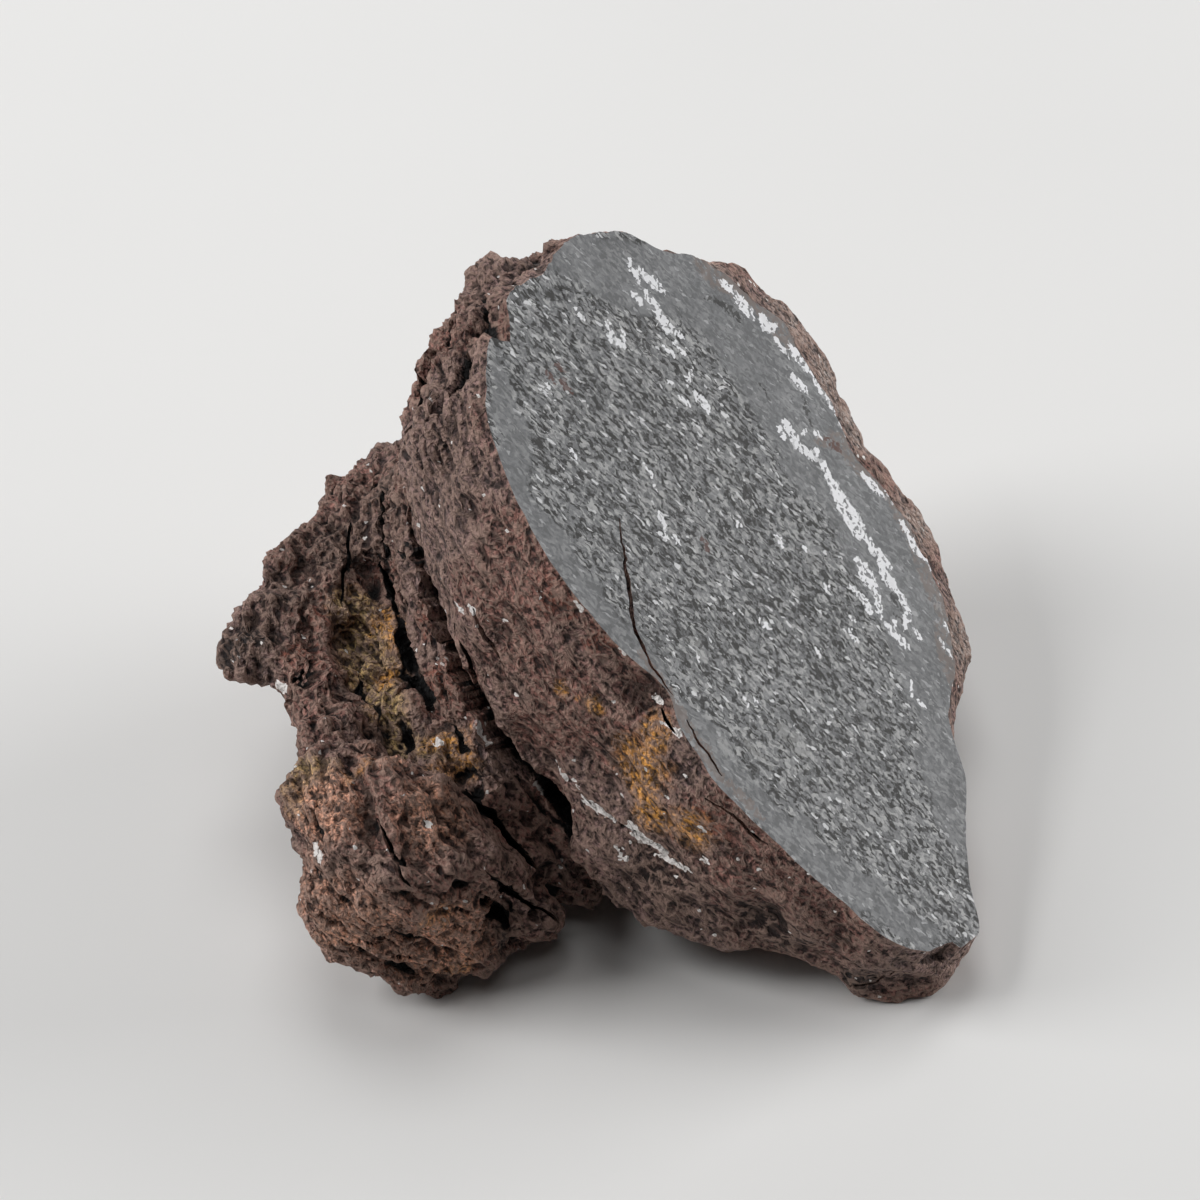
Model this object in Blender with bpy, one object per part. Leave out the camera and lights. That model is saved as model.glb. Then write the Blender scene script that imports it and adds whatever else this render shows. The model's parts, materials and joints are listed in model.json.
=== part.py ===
"""The end cut of a stony-iron meteorite: one rusted lump with one flat sawn face.

The stone is laid out as it rests, on the floor plane z = 0, and is moved at the very
end so that the origin is the middle of its box at the floor. The sawn face has a frame
of its own: u runs down its long axis, v across it and away from the front, and depth
is how far a point lies behind the saw cut.
"""

import math

import bmesh
import bpy
from mathutils import Matrix, Vector, noise

MM = 0.001

# Driving dimensions of the sawn face, in metres and degrees.
FACE_POINT = Vector((5.6, 10.6, 11.9)) * MM
FACE_HEADING = math.radians(-16)
FACE_TILT = math.radians(40)
FACE_SPIN = math.radians(-21)

# The rim of the sawn face in its own u and v, millimetres, from the upper left round
# the far side to the low right tip and back along the near side.
RIM = [
    (-15.4, -0.5), (-15.5, 2.4), (-16.1, 4.9), (-15.9, 6.6), (-15.0, 8.9), (-13.8, 9.6),
    (-12.7, 11.4), (-11.5, 13.8), (-10.0, 14.2), (-8.6, 15.0), (-6.6, 14.6), (-3.8, 14.3),
    (-1.9, 13.5), (0.8, 13.5), (3.4, 13.1), (5.1, 12.5), (6.9, 11.0), (8.1, 9.9),
    (8.7, 8.5), (9.9, 7.0), (11.4, 5.6), (13.3, 3.0), (14.8, 1.3), (16.3, 0.3),
    (16.5, -1.6), (16.0, -2.9), (14.7, -4.5), (13.1, -5.5), (10.0, -6.5), (7.4, -7.2),
    (4.8, -7.8), (2.6, -7.6), (0.9, -6.9), (-1.0, -7.5), (-3.3, -7.9), (-5.5, -8.2),
    (-7.6, -7.9), (-9.5, -7.0), (-11.8, -5.8), (-13.1, -4.6), (-14.1, -3.2),
]

# How the slab's outline changes with depth: depth, then how far the near side, the far
# side, the worn far lip, the upper left end and the low right end draw in, millimetres.
SLAB_LEVELS = [
    (-1.5, 0.0, 0.0, 5.0, 0.0, 0.0),
    (0.0, 0.0, 0.0, 1.2, 0.0, 0.0),
    (0.7, -0.2, 0.0, -1.5, -0.3, 0.0),
    (2.2, -0.5, 0.4, -0.6, -0.9, -0.2),
    (4.5, -0.4, 1.6, 0.0, -0.9, 1.2),
    (6.5, 0.0, 2.8, 0.0, 0.4, 4.0),
    (8.2, 0.8, 4.8, 0.0, 1.6, 7.4),
]

# Where each of those draws starts and is full: across v for the sides, along u for the
# ends, and across v + u / 4 for the worn lip, millimetres.
NEAR_SPAN = (-2.5, 5.5)
FAR_SPAN = (2.5, 10.5)
END_SPAN = (0.0, 13.0)
LIP_SPAN = (8.0, 10.5)
LIP_SLANT = 0.25

# The lumps behind the slab as convex boulders, by their corners, millimetres at rest.
BOULDERS = {
    "keel": [
        (-1.6, 4.5, 5.8), (-0.6, 2.8, 4.2), (0.1, 2.2, 2.7), (0.9, 1.9, 2.3),
        (1.8, 1.5, 2.0), (3.2, 0.9, 2.0), (4.4, 0.4, 2.3), (6.4, 0.3, 1.7),
        (9.2, -0.1, 1.4), (-1.4, 5.8, 12.4),
        (2.5, 2.1, 8.2), (6.1, 0.4, 5.0), (10.0, -0.6, 3.1), (3.0, 8.0, 4.0),
        (0.0, 8.0, 4.6), (9.0, 4.0, 2.4), (12.0, 5.0, 3.0),
    ],
    "core": [
        (-9.0, 19.0, 12.4), (-4.0, 24.0, 13.0), (0.0, 6.0, 7.0), (3.0, 8.0, 4.5),
        (7.0, 16.0, 6.0), (2.0, 24.0, 10.0), (-8.5, 10.0, 3.2), (-4.0, 7.0, 2.4),
        (0.4, 6.5, 2.6), (-0.5, 4.8, 2.4), (-1.6, 5.3, 3.8), (-4.3, 6.4, 7.6),
        (2.0, 13.0, 3.0), (0.0, 19.0, 2.6), (-7.0, 19.0, 3.0),
    ],
    "back lobe": [
        (-9.0, 24.0, 5.0), (-7.0, 26.2, 8.0), (0.0, 26.4, 9.0), (5.0, 24.4, 8.0),
        (-1.4, 22.4, -0.5), (1.0, 23.4, -0.5), (-0.4, 20.8, -0.5), (4.5, 19.4, 3.4),
        (-9.5, 17.0, 3.4), (-7.0, 13.0, 3.2), (-2.0, 14.0, 13.0), (3.2, 23.4, 2.4),
    ],
    "spike": [
        (-16.0, 11.2, 8.7), (-15.8, 10.5, 8.1), (-14.2, 13.4, 9.6), (-13.9, 15.5, 9.4),
        (-12.9, 17.8, 9.2), (-13.9, 12.0, 8.6), (-12.3, 11.5, 8.9), (-11.2, 10.6, 8.8),
        (-12.0, 13.6, 9.3), (-12.7, 9.0, 7.5), (-12.8, 10.6, 7.2), (-10.9, 15.0, 9.5),
        (-10.8, 12.0, 6.4), (-10.5, 17.0, 5.0), (-11.6, 19.0, 9.6), (-9.6, 18.6, 10.2),
    ],
    "far ridge": [
        (-12.9, 17.8, 9.2), (-11.8, 20.9, 8.7), (-10.8, 23.8, 7.6), (-9.2, 25.5, 7.9),
        (-8.6, 19.0, 11.2), (-9.4, 16.0, 9.9), (-8.0, 22.0, 4.0), (-6.0, 24.5, 5.0),
        (-11.0, 18.0, 5.6), (-5.0, 20.0, 10.0), (-6.5, 25.5, 10.5),
    ],
    "left wall": [
        (-11.2, 10.7, 8.7), (-10.3, 6.6, 8.1), (-9.2, 4.2, 8.3), (-11.9, 5.7, 8.9),
        (-12.6, 8.6, 7.6), (-12.2, 6.8, 7.4), (-10.2, 7.5, 4.0), (-11.0, 9.5, 4.8),
        (-8.8, 5.0, 5.0), (-10.9, 11.6, 6.0),
    ],
    "saddle": [
        (-8.4, 18.1, 14.0), (-8.0, 16.6, 13.1), (-8.2, 13.5, 12.4), (-6.9, 11.5, 11.1),
        (-6.3, 9.6, 10.2), (-5.4, 8.0, 9.1), (-4.5, 6.9, 8.0), (-8.7, 18.4, 11.4),
        (-8.8, 15.7, 10.8), (-8.1, 13.2, 9.6), (-7.2, 11.0, 8.4), (-6.3, 9.0, 7.5),
        (-3.0, 14.0, 9.0), (-6.5, 9.0, 3.0), (-4.0, 6.5, 3.0), (-8.0, 14.0, 4.6),
        (-9.4, 20.0, 9.4),
    ],
    "plates": [
        (-4.6, 6.4, 7.8), (-4.0, 6.2, 7.3), (-1.6, 5.1, 3.4), (0.4, 4.6, 1.1),
        (-0.7, 3.9, 0.8), (-1.9, 3.7, 0.9), (-2.3, 3.9, 2.6), (-3.3, 4.4, 4.8),
        (-4.8, 4.6, 7.0), (-2.5, 8.0, 2.0), (0.5, 8.0, 2.2), (-4.0, 8.5, 5.0),
    ],
    "hollow back": [
        (-10.6, 13.2, 8.9), (-9.0, 12.8, 8.5), (-9.6, 20.0, 9.2), (-8.2, 10.8, 6.7),
        (-9.6, 10.2, 6.6), (-9.2, 10.8, 3.4), (-6.0, 13.0, 4.0), (-6.0, 18.0, 7.0),
        (-10.8, 17.0, 8.4), (-10.6, 16.0, 4.4), (-7.2, 13.6, 8.2),
    ],
    "hollow floor": [
        (-11.5, 12.0, 7.9), (-11.5, 9.6, 7.3), (-10.6, 7.0, 7.2), (-9.6, 12.0, 6.3),
        (-8.2, 11.0, 6.6), (-6.4, 8.4, 6.7), (-5.1, 6.4, 7.3),
        (-6.4, 4.3, 7.6), (-9.0, 4.2, 7.9), (-9.0, 5.0, 2.6), (-4.6, 5.0, 2.6),
        (-5.0, 10.0, 3.0), (-9.5, 11.0, 3.2),
    ],
    "block": [
        (-12.4, 4.3, 9.0), (-12.4, 3.3, 8.2), (-11.8, 5.6, 9.1), (-10.0, 4.6, 9.4),
        (-7.8, 3.4, 9.3), (-4.9, 3.8, 8.0), (-7.7, -1.1, 8.0), (-10.4, -0.2, 8.4),
        (-4.9, 0.2, 7.4), (-3.9, 2.4, 7.0), (-3.2, 2.6, 5.4), (-11.8, 2.0, 7.0),
        (-11.6, 0.7, 6.1), (-11.2, -0.3, 3.5), (-10.5, 0.0, 2.1), (-8.0, 0.0, 0.8),
        (-4.4, 0.6, 0.6), (-2.4, 2.0, 0.4), (-1.9, 2.6, 1.9), (-2.3, 2.8, 2.9),
        (-4.0, 7.0, 1.6), (-9.0, 8.0, 2.2), (-11.0, 7.5, 5.0),
    ],
    "left foot": [
        (-7.9, 0.2, 1.4), (-7.4, -0.2, 0.3), (-6.8, -0.4, -0.4), (-6.0, -0.1, -0.4),
        (-6.6, 1.2, -0.4), (-5.2, 0.4, 1.0), (-6.6, 2.2, 2.0),
    ],
    "right foot": [
        (9.0, -0.3, 1.9), (9.8, -0.6, 0.4), (11.6, -0.6, -0.4), (13.4, -0.3, -0.3),
        (14.1, 0.7, 0.5), (15.1, 1.2, 1.4), (15.5, 2.4, 2.4), (10.2, 1.6, -0.2),
        (13.3, 2.4, -0.1), (12.0, 1.0, 5.0), (9.0, 2.0, 4.0),
    ],
}

# The small knob on the upper left edge.
KNOB_PLACE = Vector((-4.5, 22.2, 19.4)) * MM
KNOB_RADIUS = 0.8 * MM

# Cracks that open to the outside: the way each runs inwards, then the points of its
# mouth as u, v, depth, gap and reach, all in the sawn face's frame and millimetres.
FISSURES = {
    "crevice": ((0.25, 1.0, 0.1), [
        (-13.4, -2.4, 8.0, 0.20, 0.8), (-11.9, -3.6, 8.0, 0.45, 1.6),
        (-10.0, -5.0, 8.2, 0.30, 1.3), (-7.3, -6.3, 8.0, 0.40, 1.6),
        (-5.4, -7.0, 8.1, 0.45, 1.8), (-3.4, -7.4, 8.1, 0.50, 2.0),
        (-1.6, -7.6, 8.1, 0.75, 2.6), (0.7, -7.5, 8.3, 0.95, 3.2),
        (2.9, -7.0, 8.6, 0.95, 3.2), (5.0, -6.6, 9.2, 0.75, 2.6),
        (7.4, -6.0, 9.8, 0.35, 1.4),
    ]),
    "second crack": ((0.1, 1.0, 0.15), [
        (-6.0, -7.4, 6.3, 0.12, 0.7), (-4.9, -7.4, 6.8, 0.40, 1.3),
        (-3.2, -7.3, 7.4, 0.35, 1.2), (-1.9, -7.3, 7.7, 0.15, 0.7),
    ]),
    "ridge crack": ((1.0, 0.6, 0.1), [
        (-16.0, 0.6, 1.4, 0.20, 0.8), (-15.7, -0.6, 1.2, 0.60, 1.4),
        (-14.8, -2.4, 1.2, 0.40, 1.2), (-14.2, -3.6, 1.5, 0.30, 1.0),
        (-13.2, -5.1, 1.8, 0.45, 1.2), (-12.6, -5.6, 3.0, 0.12, 0.8),
    ]),
    "ridge back crack": ((1.0, 0.5, 0.1), [
        (-15.6, -1.0, 2.6, 0.15, 0.7), (-14.7, -3.2, 3.0, 0.50, 1.3),
        (-14.0, -3.7, 4.2, 0.50, 1.2), (-13.5, -3.9, 4.9, 0.15, 0.8),
    ]),
    "lobe slit": ((0.6, 0.75, -0.2), [
        (-12.6, -0.6, 11.2, 0.15, 0.8), (-11.2, -2.6, 10.5, 0.60, 1.6),
        (-9.6, -4.8, 9.3, 0.55, 1.4), (-8.6, -5.6, 8.9, 0.15, 0.8),
    ]),
    "flank ledge": ((0.0, 1.0, -0.5), [
        (2.0, -7.8, 6.9, 0.10, 0.6), (3.5, -7.8, 6.0, 0.35, 1.0),
        (5.8, -7.8, 4.9, 0.40, 1.0), (7.6, -7.6, 4.2, 0.12, 0.6),
    ]),
    "plate gap": ((-0.5, 0.5, 0.8), [
        (-0.6, -10.9, 8.0, 0.20, 0.9), (1.2, -9.2, 9.2, 0.60, 2.0),
        (3.6, -8.1, 10.2, 0.30, 1.2),
    ]),
    "block crack": ((-0.7, 0.2, 0.7), [
        (3.0, -11.8, 8.7, 0.20, 0.9), (4.5, -10.1, 9.8, 0.40, 1.4),
        (5.8, -8.5, 10.6, 0.15, 0.8),
    ]),
    "back crack": ((-0.3, -1.0, 0.1), [
        (-9.6, 14.6, 3.6, 0.12, 0.7), (-7.8, 14.9, 4.4, 0.45, 1.5),
        (-5.6, 14.6, 4.5, 0.60, 1.8), (-3.0, 13.9, 5.2, 0.35, 1.3),
        (-1.0, 13.4, 5.0, 0.12, 0.7),
    ]),
    "back crevice": ((0.2, -1.0, 0.0), [
        (-11.2, 10.8, 7.6, 0.15, 0.8), (-9.0, 12.4, 8.1, 0.70, 2.4),
        (-6.4, 12.6, 8.0, 0.80, 2.6), (-3.4, 12.0, 8.5, 0.60, 2.2),
        (-0.8, 11.2, 8.2, 0.15, 0.9),
    ]),
    "face crack": ((0.0, 0.25, 1.0), [
        (-5.3, -3.3, 0.0, 0.05, 0.3), (-3.7, -4.6, 0.0, 0.16, 0.7),
        (-1.4, -6.3, 0.0, 0.24, 1.0), (0.7, -6.9, 0.0, 0.30, 1.2),
        (2.4, -7.3, 0.0, 0.26, 1.0), (3.6, -8.0, 0.2, 0.12, 0.6),
    ]),
}
MOUTH_OVERRUN = 2.0 * MM

# Chips gone from the rim of the sawn face: outline in u and v, and depth, millimetres.
CHIPS = {
    "upper left notch": (1.3, [
        (-16.6, -0.4), (-15.6, -0.3), (-14.5, -1.1), (-13.4, -2.2), (-13.9, -2.9), (-15.0, -3.4),
    ]),
    "left chip": (0.7, [(-16.8, 0.3), (-16.8, 1.7), (-15.6, 1.5), (-15.4, 1.0), (-15.7, 0.4)]),
    "far left chip": (0.8, [(-17.0, 2.2), (-17.0, 4.8), (-15.9, 4.8), (-15.6, 2.9)]),
    "low right chip": (0.9, [(16.8, -1.2), (15.9, -1.4), (15.5, -2.9), (15.4, -4.6), (16.8, -4.6)]),
}
CHIP_CLEARANCE = 1.0
CHIP_WAIST = 0.55

# The valley between the left wall and the saddle, by the corners of the air in it,
# millimetres at rest: its bed, its right and left slopes, and the air above them.
HOLLOW = [
    (-10.6, 12.7, 7.6), (-10.2, 10.6, 6.7), (-9.3, 7.9, 6.5), (-8.2, 5.8, 6.9),
    (-8.6, 14.1, 9.4), (-7.0, 10.7, 8.6), (-5.7, 7.6, 7.9), (-5.4, 6.0, 7.4),
    (-11.3, 11.4, 9.4), (-11.0, 8.3, 9.2), (-10.1, 5.4, 9.2), (-9.0, 4.2, 9.4),
    (-8.2, 14.1, 13.0), (-5.2, 7.6, 13.0), (-11.3, 11.4, 13.0), (-9.6, 4.6, 13.0),
]

# The dark recess in the right side of the block, by its corners, millimetres at rest.
BLOCK_RECESS = [
    (-5.0, -0.3, 5.4), (-3.4, 0.4, 5.2), (-5.0, -0.4, 2.4), (-3.2, 0.2, 2.2),
    (-4.5, 1.9, 4.9), (-3.4, 2.3, 4.6), (-4.3, 1.7, 2.9),
]

# Relief of the crust: size and height of the lumps from broad to small, the spacing
# and height of the ledges that follow the layering, and the pits.
LUMPS = [(5.2 * MM, 0.50 * MM), (2.4 * MM, 0.34 * MM), (1.2 * MM, 0.16 * MM)]
LEDGE_SPACING = 1.9 * MM
LEDGE_HEIGHT = 0.30 * MM
LEDGE_WARP = 1.1 * MM
PIT_SPACING = 3.1 * MM
PIT_DEPTH = 0.45 * MM
PIT_WIDTH = 0.30

# Where the ledges show: the size of their patches, and the noise at which they start
# and are full.
LEDGE_PATCH = 5 * MM
LEDGE_START = -0.3
LEDGE_FULL = 0.4

# The crust is calmer beside the sawn face, and evened out before it is roughened.
CALM_RIM = 1.6 * MM
CALM_LEAST = 0.35
SMOOTHINGS = 2

# The grain of the fused body, its number of triangles before the cracks, and the
# smallest edge that is kept once everything is cut.
VOXEL = 0.32 * MM
BODY_TRIANGLES = 8200
CUT_BLOCK = 60 * MM
SMALLEST_EDGE = 0.02 * MM

CRUST_COLOUR = (0.085, 0.052, 0.044, 1.0)
CRUST_ROUGHNESS = 0.72
SAWN_COLOUR = (0.20, 0.22, 0.24, 1.0)
SAWN_ROUGHNESS = 0.45
SAWN_METALLIC = 0.25


def clear_scene():
    """Remove everything that the startup file brings."""
    for obj in list(bpy.data.objects):
        bpy.data.objects.remove(obj, do_unlink=True)


def face_turn():
    """The move from the sawn face's frame, face up, to its place and tilt at rest."""
    turn = Matrix.Rotation(FACE_HEADING, 4, "Z")
    turn = turn @ Matrix.Rotation(FACE_TILT, 4, "Y")
    turn = turn @ Matrix.Rotation(FACE_SPIN, 4, "Z")
    return Matrix.Translation(FACE_POINT) @ turn


def new_object(name, shape):
    """Put a bmesh into the scene as an object."""
    mesh = bpy.data.meshes.new(name)
    shape.to_mesh(mesh)
    shape.free()
    obj = bpy.data.objects.new(name, mesh)
    bpy.context.scene.collection.objects.link(obj)
    return obj


def settled_mesh(obj):
    """Turn the object's modifiers into its own mesh."""
    bpy.context.view_layer.update()
    graph = bpy.context.evaluated_depsgraph_get()
    mesh = bpy.data.meshes.new_from_object(obj.evaluated_get(graph))
    obj.modifiers.clear()
    obj.data = mesh


def share(value, start, end):
    """How far a value has come from start to end, from 0 to 1."""
    return min(max((value - start) / (end - start), 0.0), 1.0)


def drawn_in(point, near, far, lip, left, right):
    """Move one rim point inwards by its share of each side's draw."""
    u, v = point
    lip_share = share(v + LIP_SLANT * u, *LIP_SPAN)
    u += left * share(-u, *END_SPAN) - right * share(u, *END_SPAN)
    v += near * share(-v, *NEAR_SPAN) - far * share(v, *FAR_SPAN) - lip * lip_share
    return u, v


def eased(ring, passes):
    """Soften an outline by moving each point towards its neighbours' middle."""
    for _ in range(passes):
        sides = zip(ring[-1:] + ring[:-1], ring[1:] + ring[:1])
        ring = [(point + (a + b) / 2) / 2 for point, (a, b) in zip(ring, sides)]
    return ring


def slab():
    """The slab behind the sawn face, lofted from its rim through each depth."""
    shape = bmesh.new()
    rings = []
    for depth, *draws in SLAB_LEVELS:
        outline = [Vector((*drawn_in(point, *draws), -depth)) * MM for point in RIM]
        ring = [shape.verts.new(point) for point in eased(outline, max(int(depth), 0))]
        edges = [shape.edges.new((a, b)) for a, b in zip(ring, ring[1:] + ring[:1])]
        rings.append(edges)
    for upper, lower in zip(rings, rings[1:]):
        bmesh.ops.bridge_loops(shape, edges=upper + lower)
    bmesh.ops.contextual_create(shape, geom=rings[0])
    bmesh.ops.contextual_create(shape, geom=rings[-1])
    bmesh.ops.transform(shape, matrix=face_turn(), verts=shape.verts)
    bmesh.ops.recalc_face_normals(shape, faces=shape.faces)
    return shape


def boulder(corners):
    """A convex lump round its corners."""
    shape = bmesh.new()
    for corner in corners:
        shape.verts.new(Vector(corner) * MM)
    hull = bmesh.ops.convex_hull(shape, input=shape.verts)
    spare = [item for item in hull["geom_interior"] if isinstance(item, bmesh.types.BMVert)]
    bmesh.ops.delete(shape, geom=spare, context="VERTS")
    bmesh.ops.recalc_face_normals(shape, faces=shape.faces)
    return shape


def knob():
    """The small round knob."""
    shape = bmesh.new()
    place = Matrix.Translation(KNOB_PLACE)
    bmesh.ops.create_icosphere(shape, subdivisions=2, radius=KNOB_RADIUS, matrix=place)
    return shape


def fuse(body):
    """Close everything in the body into one skin of even grain."""
    remesh = body.modifiers.new("fuse", "REMESH")
    remesh.mode = "VOXEL"
    remesh.voxel_size = VOXEL
    settled_mesh(body)


def fused_body():
    """Join the slab and the lumps into one skin, and take the hollow out of it."""
    whole = bmesh.new()
    for shape in [slab(), knob(), *map(boulder, BOULDERS.values())]:
        mesh = bpy.data.meshes.new("piece")
        shape.to_mesh(mesh)
        shape.free()
        whole.from_mesh(mesh)
        bpy.data.meshes.remove(mesh)
    body = new_object("meteorite", whole)
    fuse(body)
    take_away(body, "hollow", boulder(HOLLOW))
    fuse(body)
    return body


def relief(point, depth):
    """How far the crust stands proud of the plain body at a point."""
    height = sum(tall * noise.noise(point / wide) for wide, tall in LUMPS)
    layer = (depth + LEDGE_WARP * noise.noise(point / (3 * LEDGE_SPACING))) / LEDGE_SPACING
    layered = share(noise.noise(point / LEDGE_PATCH), LEDGE_START, LEDGE_FULL)
    height += LEDGE_HEIGHT * (layer - math.floor(layer) - 0.5) * layered
    nearest = noise.voronoi(point / PIT_SPACING)[0][0]
    height -= PIT_DEPTH * (1 - share(nearest, 0.0, PIT_WIDTH))
    return height


def roughen(body):
    """Give the plain body its lumps, ledges and pits, calmer beside the sawn face."""
    to_face = face_turn().inverted()
    shape = bmesh.new()
    shape.from_mesh(body.data)
    axes = {"use_axis_x": True, "use_axis_y": True, "use_axis_z": True}
    for _ in range(SMOOTHINGS):
        bmesh.ops.smooth_vert(shape, verts=shape.verts, factor=0.5, **axes)
    shape.normal_update()
    for vert in shape.verts:
        depth = -(to_face @ vert.co).z
        calm = CALM_LEAST + (1 - CALM_LEAST) * share(depth, 0.0, CALM_RIM)
        vert.co += vert.normal * relief(vert.co, depth) * calm
    shape.to_mesh(body.data)
    shape.free()


def thin_out(body):
    """Bring the body down to its number of triangles, keeping the sharper forms."""
    decimate = body.modifiers.new("thin out", "DECIMATE")
    decimate.ratio = BODY_TRIANGLES / (2 * len(body.data.polygons))
    settled_mesh(body)


def blade(inward, mouth):
    """A thin wedge along a crack's mouth, from outside the crust to its reach."""
    inward = Vector((inward[0], inward[1], -inward[2])).normalized()
    places = [Vector((u, v, -depth)) * MM for u, v, depth, *_ in mouth]
    befores = places[:1] + places[:-1]
    afters = places[1:] + places[-1:]
    shape = bmesh.new()
    rings = []
    for before, place, after, (*_, gap, reach) in zip(befores, places, afters, mouth):
        across = (after - before).cross(inward).normalized() * gap * MM / 2
        outside = place - inward * MOUTH_OVERRUN
        inside = place + inward * reach * MM
        corners = [outside + across, inside + across / 3, inside - across / 3, outside - across]
        ring = [shape.verts.new(corner) for corner in corners]
        rings.append([shape.edges.new((a, b)) for a, b in zip(ring, ring[1:] + ring[:1])])
    for first, second in zip(rings, rings[1:]):
        bmesh.ops.bridge_loops(shape, edges=first + second)
    bmesh.ops.contextual_create(shape, geom=rings[0])
    bmesh.ops.contextual_create(shape, geom=rings[-1])
    bmesh.ops.transform(shape, matrix=face_turn(), verts=shape.verts)
    bmesh.ops.recalc_face_normals(shape, faces=shape.faces)
    return shape


def chip(depth, outline):
    """The piece that broke off the rim: its outline narrows to a shallow floor."""
    middle = sum((Vector(point) for point in outline), Vector((0, 0))) / len(outline)
    narrow = [middle.lerp(Vector(point), CHIP_WAIST) for point in outline]
    corners = [Vector((*point, CHIP_CLEARANCE)) for point in outline]
    corners += [Vector((*point, -depth)) for point in narrow]
    shape = boulder(corners)
    bmesh.ops.transform(shape, matrix=face_turn(), verts=shape.verts)
    return shape


def cutter(name, shape):
    """A hidden object that a Boolean takes away from the stone."""
    obj = new_object(name, shape)
    obj.hide_render = True
    obj.display_type = "WIRE"
    return obj


def half_space(plane):
    """A large block that stands on a plane's upper side."""
    shape = bmesh.new()
    up = Matrix.Translation((0, 0, CUT_BLOCK / 2))
    bmesh.ops.create_cube(shape, size=CUT_BLOCK, matrix=plane @ up)
    return shape


def take_away(body, name, shape):
    """Cut a shape out of the stone."""
    cut = body.modifiers.new(name, "BOOLEAN")
    cut.operation = "DIFFERENCE"
    cut.solver = "EXACT"
    cut.object = cutter(name, shape)
    settled_mesh(body)


def clean(body):
    """Merge the slivers that the cuts leave."""
    shape = bmesh.new()
    shape.from_mesh(body.data)
    bmesh.ops.triangulate(shape, faces=shape.faces)
    bmesh.ops.remove_doubles(shape, verts=shape.verts, dist=SMALLEST_EDGE)
    bmesh.ops.dissolve_degenerate(shape, edges=shape.edges, dist=SMALLEST_EDGE)
    bmesh.ops.triangulate(shape, faces=shape.faces)
    shape.to_mesh(body.data)
    shape.free()


def finish(name, colour, roughness, metallic):
    """A plain surface by its colour, roughness and metallic value."""
    material = bpy.data.materials.new(name)
    material.use_nodes = True
    surface = material.node_tree.nodes["Principled BSDF"]
    surface.inputs["Base Color"].default_value = colour
    surface.inputs["Roughness"].default_value = roughness
    surface.inputs["Metallic"].default_value = metallic
    return material


def colour(body):
    """Rusty crust all round, and bare grey stone on the saw cut."""
    body.data.materials.clear()
    body.data.materials.append(finish("crust", CRUST_COLOUR, CRUST_ROUGHNESS, 0.0))
    body.data.materials.append(finish("sawn stone", SAWN_COLOUR, SAWN_ROUGHNESS, SAWN_METALLIC))
    to_face = face_turn().inverted()
    for face in body.data.polygons:
        on_cut = all(abs((to_face @ body.data.vertices[i].co).z) < SMALLEST_EDGE for i in face.vertices)
        face.material_index = int(on_cut)


def stand_at_origin(body):
    """Move the stone so that the origin is the middle of its box at the floor."""
    corners = [Vector(corner) for corner in body.bound_box]
    low = Vector(min(corner[i] for corner in corners) for i in range(3))
    high = Vector(max(corner[i] for corner in corners) for i in range(3))
    move = Vector((-(low.x + high.x) / 2, -(low.y + high.y) / 2, -low.z))
    body.data.transform(Matrix.Translation(move))
    return move


def main():
    clear_scene()
    body = fused_body()
    roughen(body)
    thin_out(body)
    for name, (inward, mouth) in FISSURES.items():
        take_away(body, name, blade(inward, mouth))
    take_away(body, "block recess", boulder(BLOCK_RECESS))
    for name, (depth, outline) in CHIPS.items():
        take_away(body, name, chip(depth, outline))
    take_away(body, "saw cut", half_space(face_turn()))
    take_away(body, "floor", half_space(Matrix.Rotation(math.pi, 4, "X")))
    clean(body)
    colour(body)
    return body, stand_at_origin(body)


if __name__ == "__main__":
    main()
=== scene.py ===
"""The looks of a meteorite end cut: layered rusty crust, bare sawn face, and a plain studio."""

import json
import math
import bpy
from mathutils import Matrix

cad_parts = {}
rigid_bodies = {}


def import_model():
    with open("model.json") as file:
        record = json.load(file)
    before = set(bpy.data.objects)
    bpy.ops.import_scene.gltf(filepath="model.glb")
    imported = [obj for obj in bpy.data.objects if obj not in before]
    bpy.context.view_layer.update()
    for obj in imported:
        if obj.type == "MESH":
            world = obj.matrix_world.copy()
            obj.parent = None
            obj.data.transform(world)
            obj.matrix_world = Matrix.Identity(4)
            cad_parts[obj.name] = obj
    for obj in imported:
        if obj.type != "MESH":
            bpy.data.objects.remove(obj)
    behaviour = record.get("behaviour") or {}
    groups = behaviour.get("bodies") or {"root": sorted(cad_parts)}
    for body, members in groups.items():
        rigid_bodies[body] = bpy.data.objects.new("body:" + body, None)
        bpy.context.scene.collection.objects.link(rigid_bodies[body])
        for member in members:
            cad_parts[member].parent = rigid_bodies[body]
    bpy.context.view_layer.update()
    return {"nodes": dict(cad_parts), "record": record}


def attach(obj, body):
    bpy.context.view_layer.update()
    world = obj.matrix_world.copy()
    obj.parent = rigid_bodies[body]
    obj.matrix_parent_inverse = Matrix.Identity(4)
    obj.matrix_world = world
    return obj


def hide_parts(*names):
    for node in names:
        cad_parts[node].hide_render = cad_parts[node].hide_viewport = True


bl_info = {
    "name": "Meteorite End Cut",
    "version": (1, 0, 0),
    "blender": (4, 5, 0),
    "location": "View3D > Sidebar > Meteorite",
    "description": "Builds a rusted meteorite with one sawn face, and the table that it lies on",
    "category": "Object",
}

import bmesh
import bpy
import numpy as np
from bpy.props import FloatProperty, FloatVectorProperty, IntProperty, PointerProperty
from mathutils import Matrix, Vector, noise
from mathutils.bvhtree import BVHTree

for startup_object in list(bpy.data.objects):
    bpy.data.objects.remove(startup_object, do_unlink=True)

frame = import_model()

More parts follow.
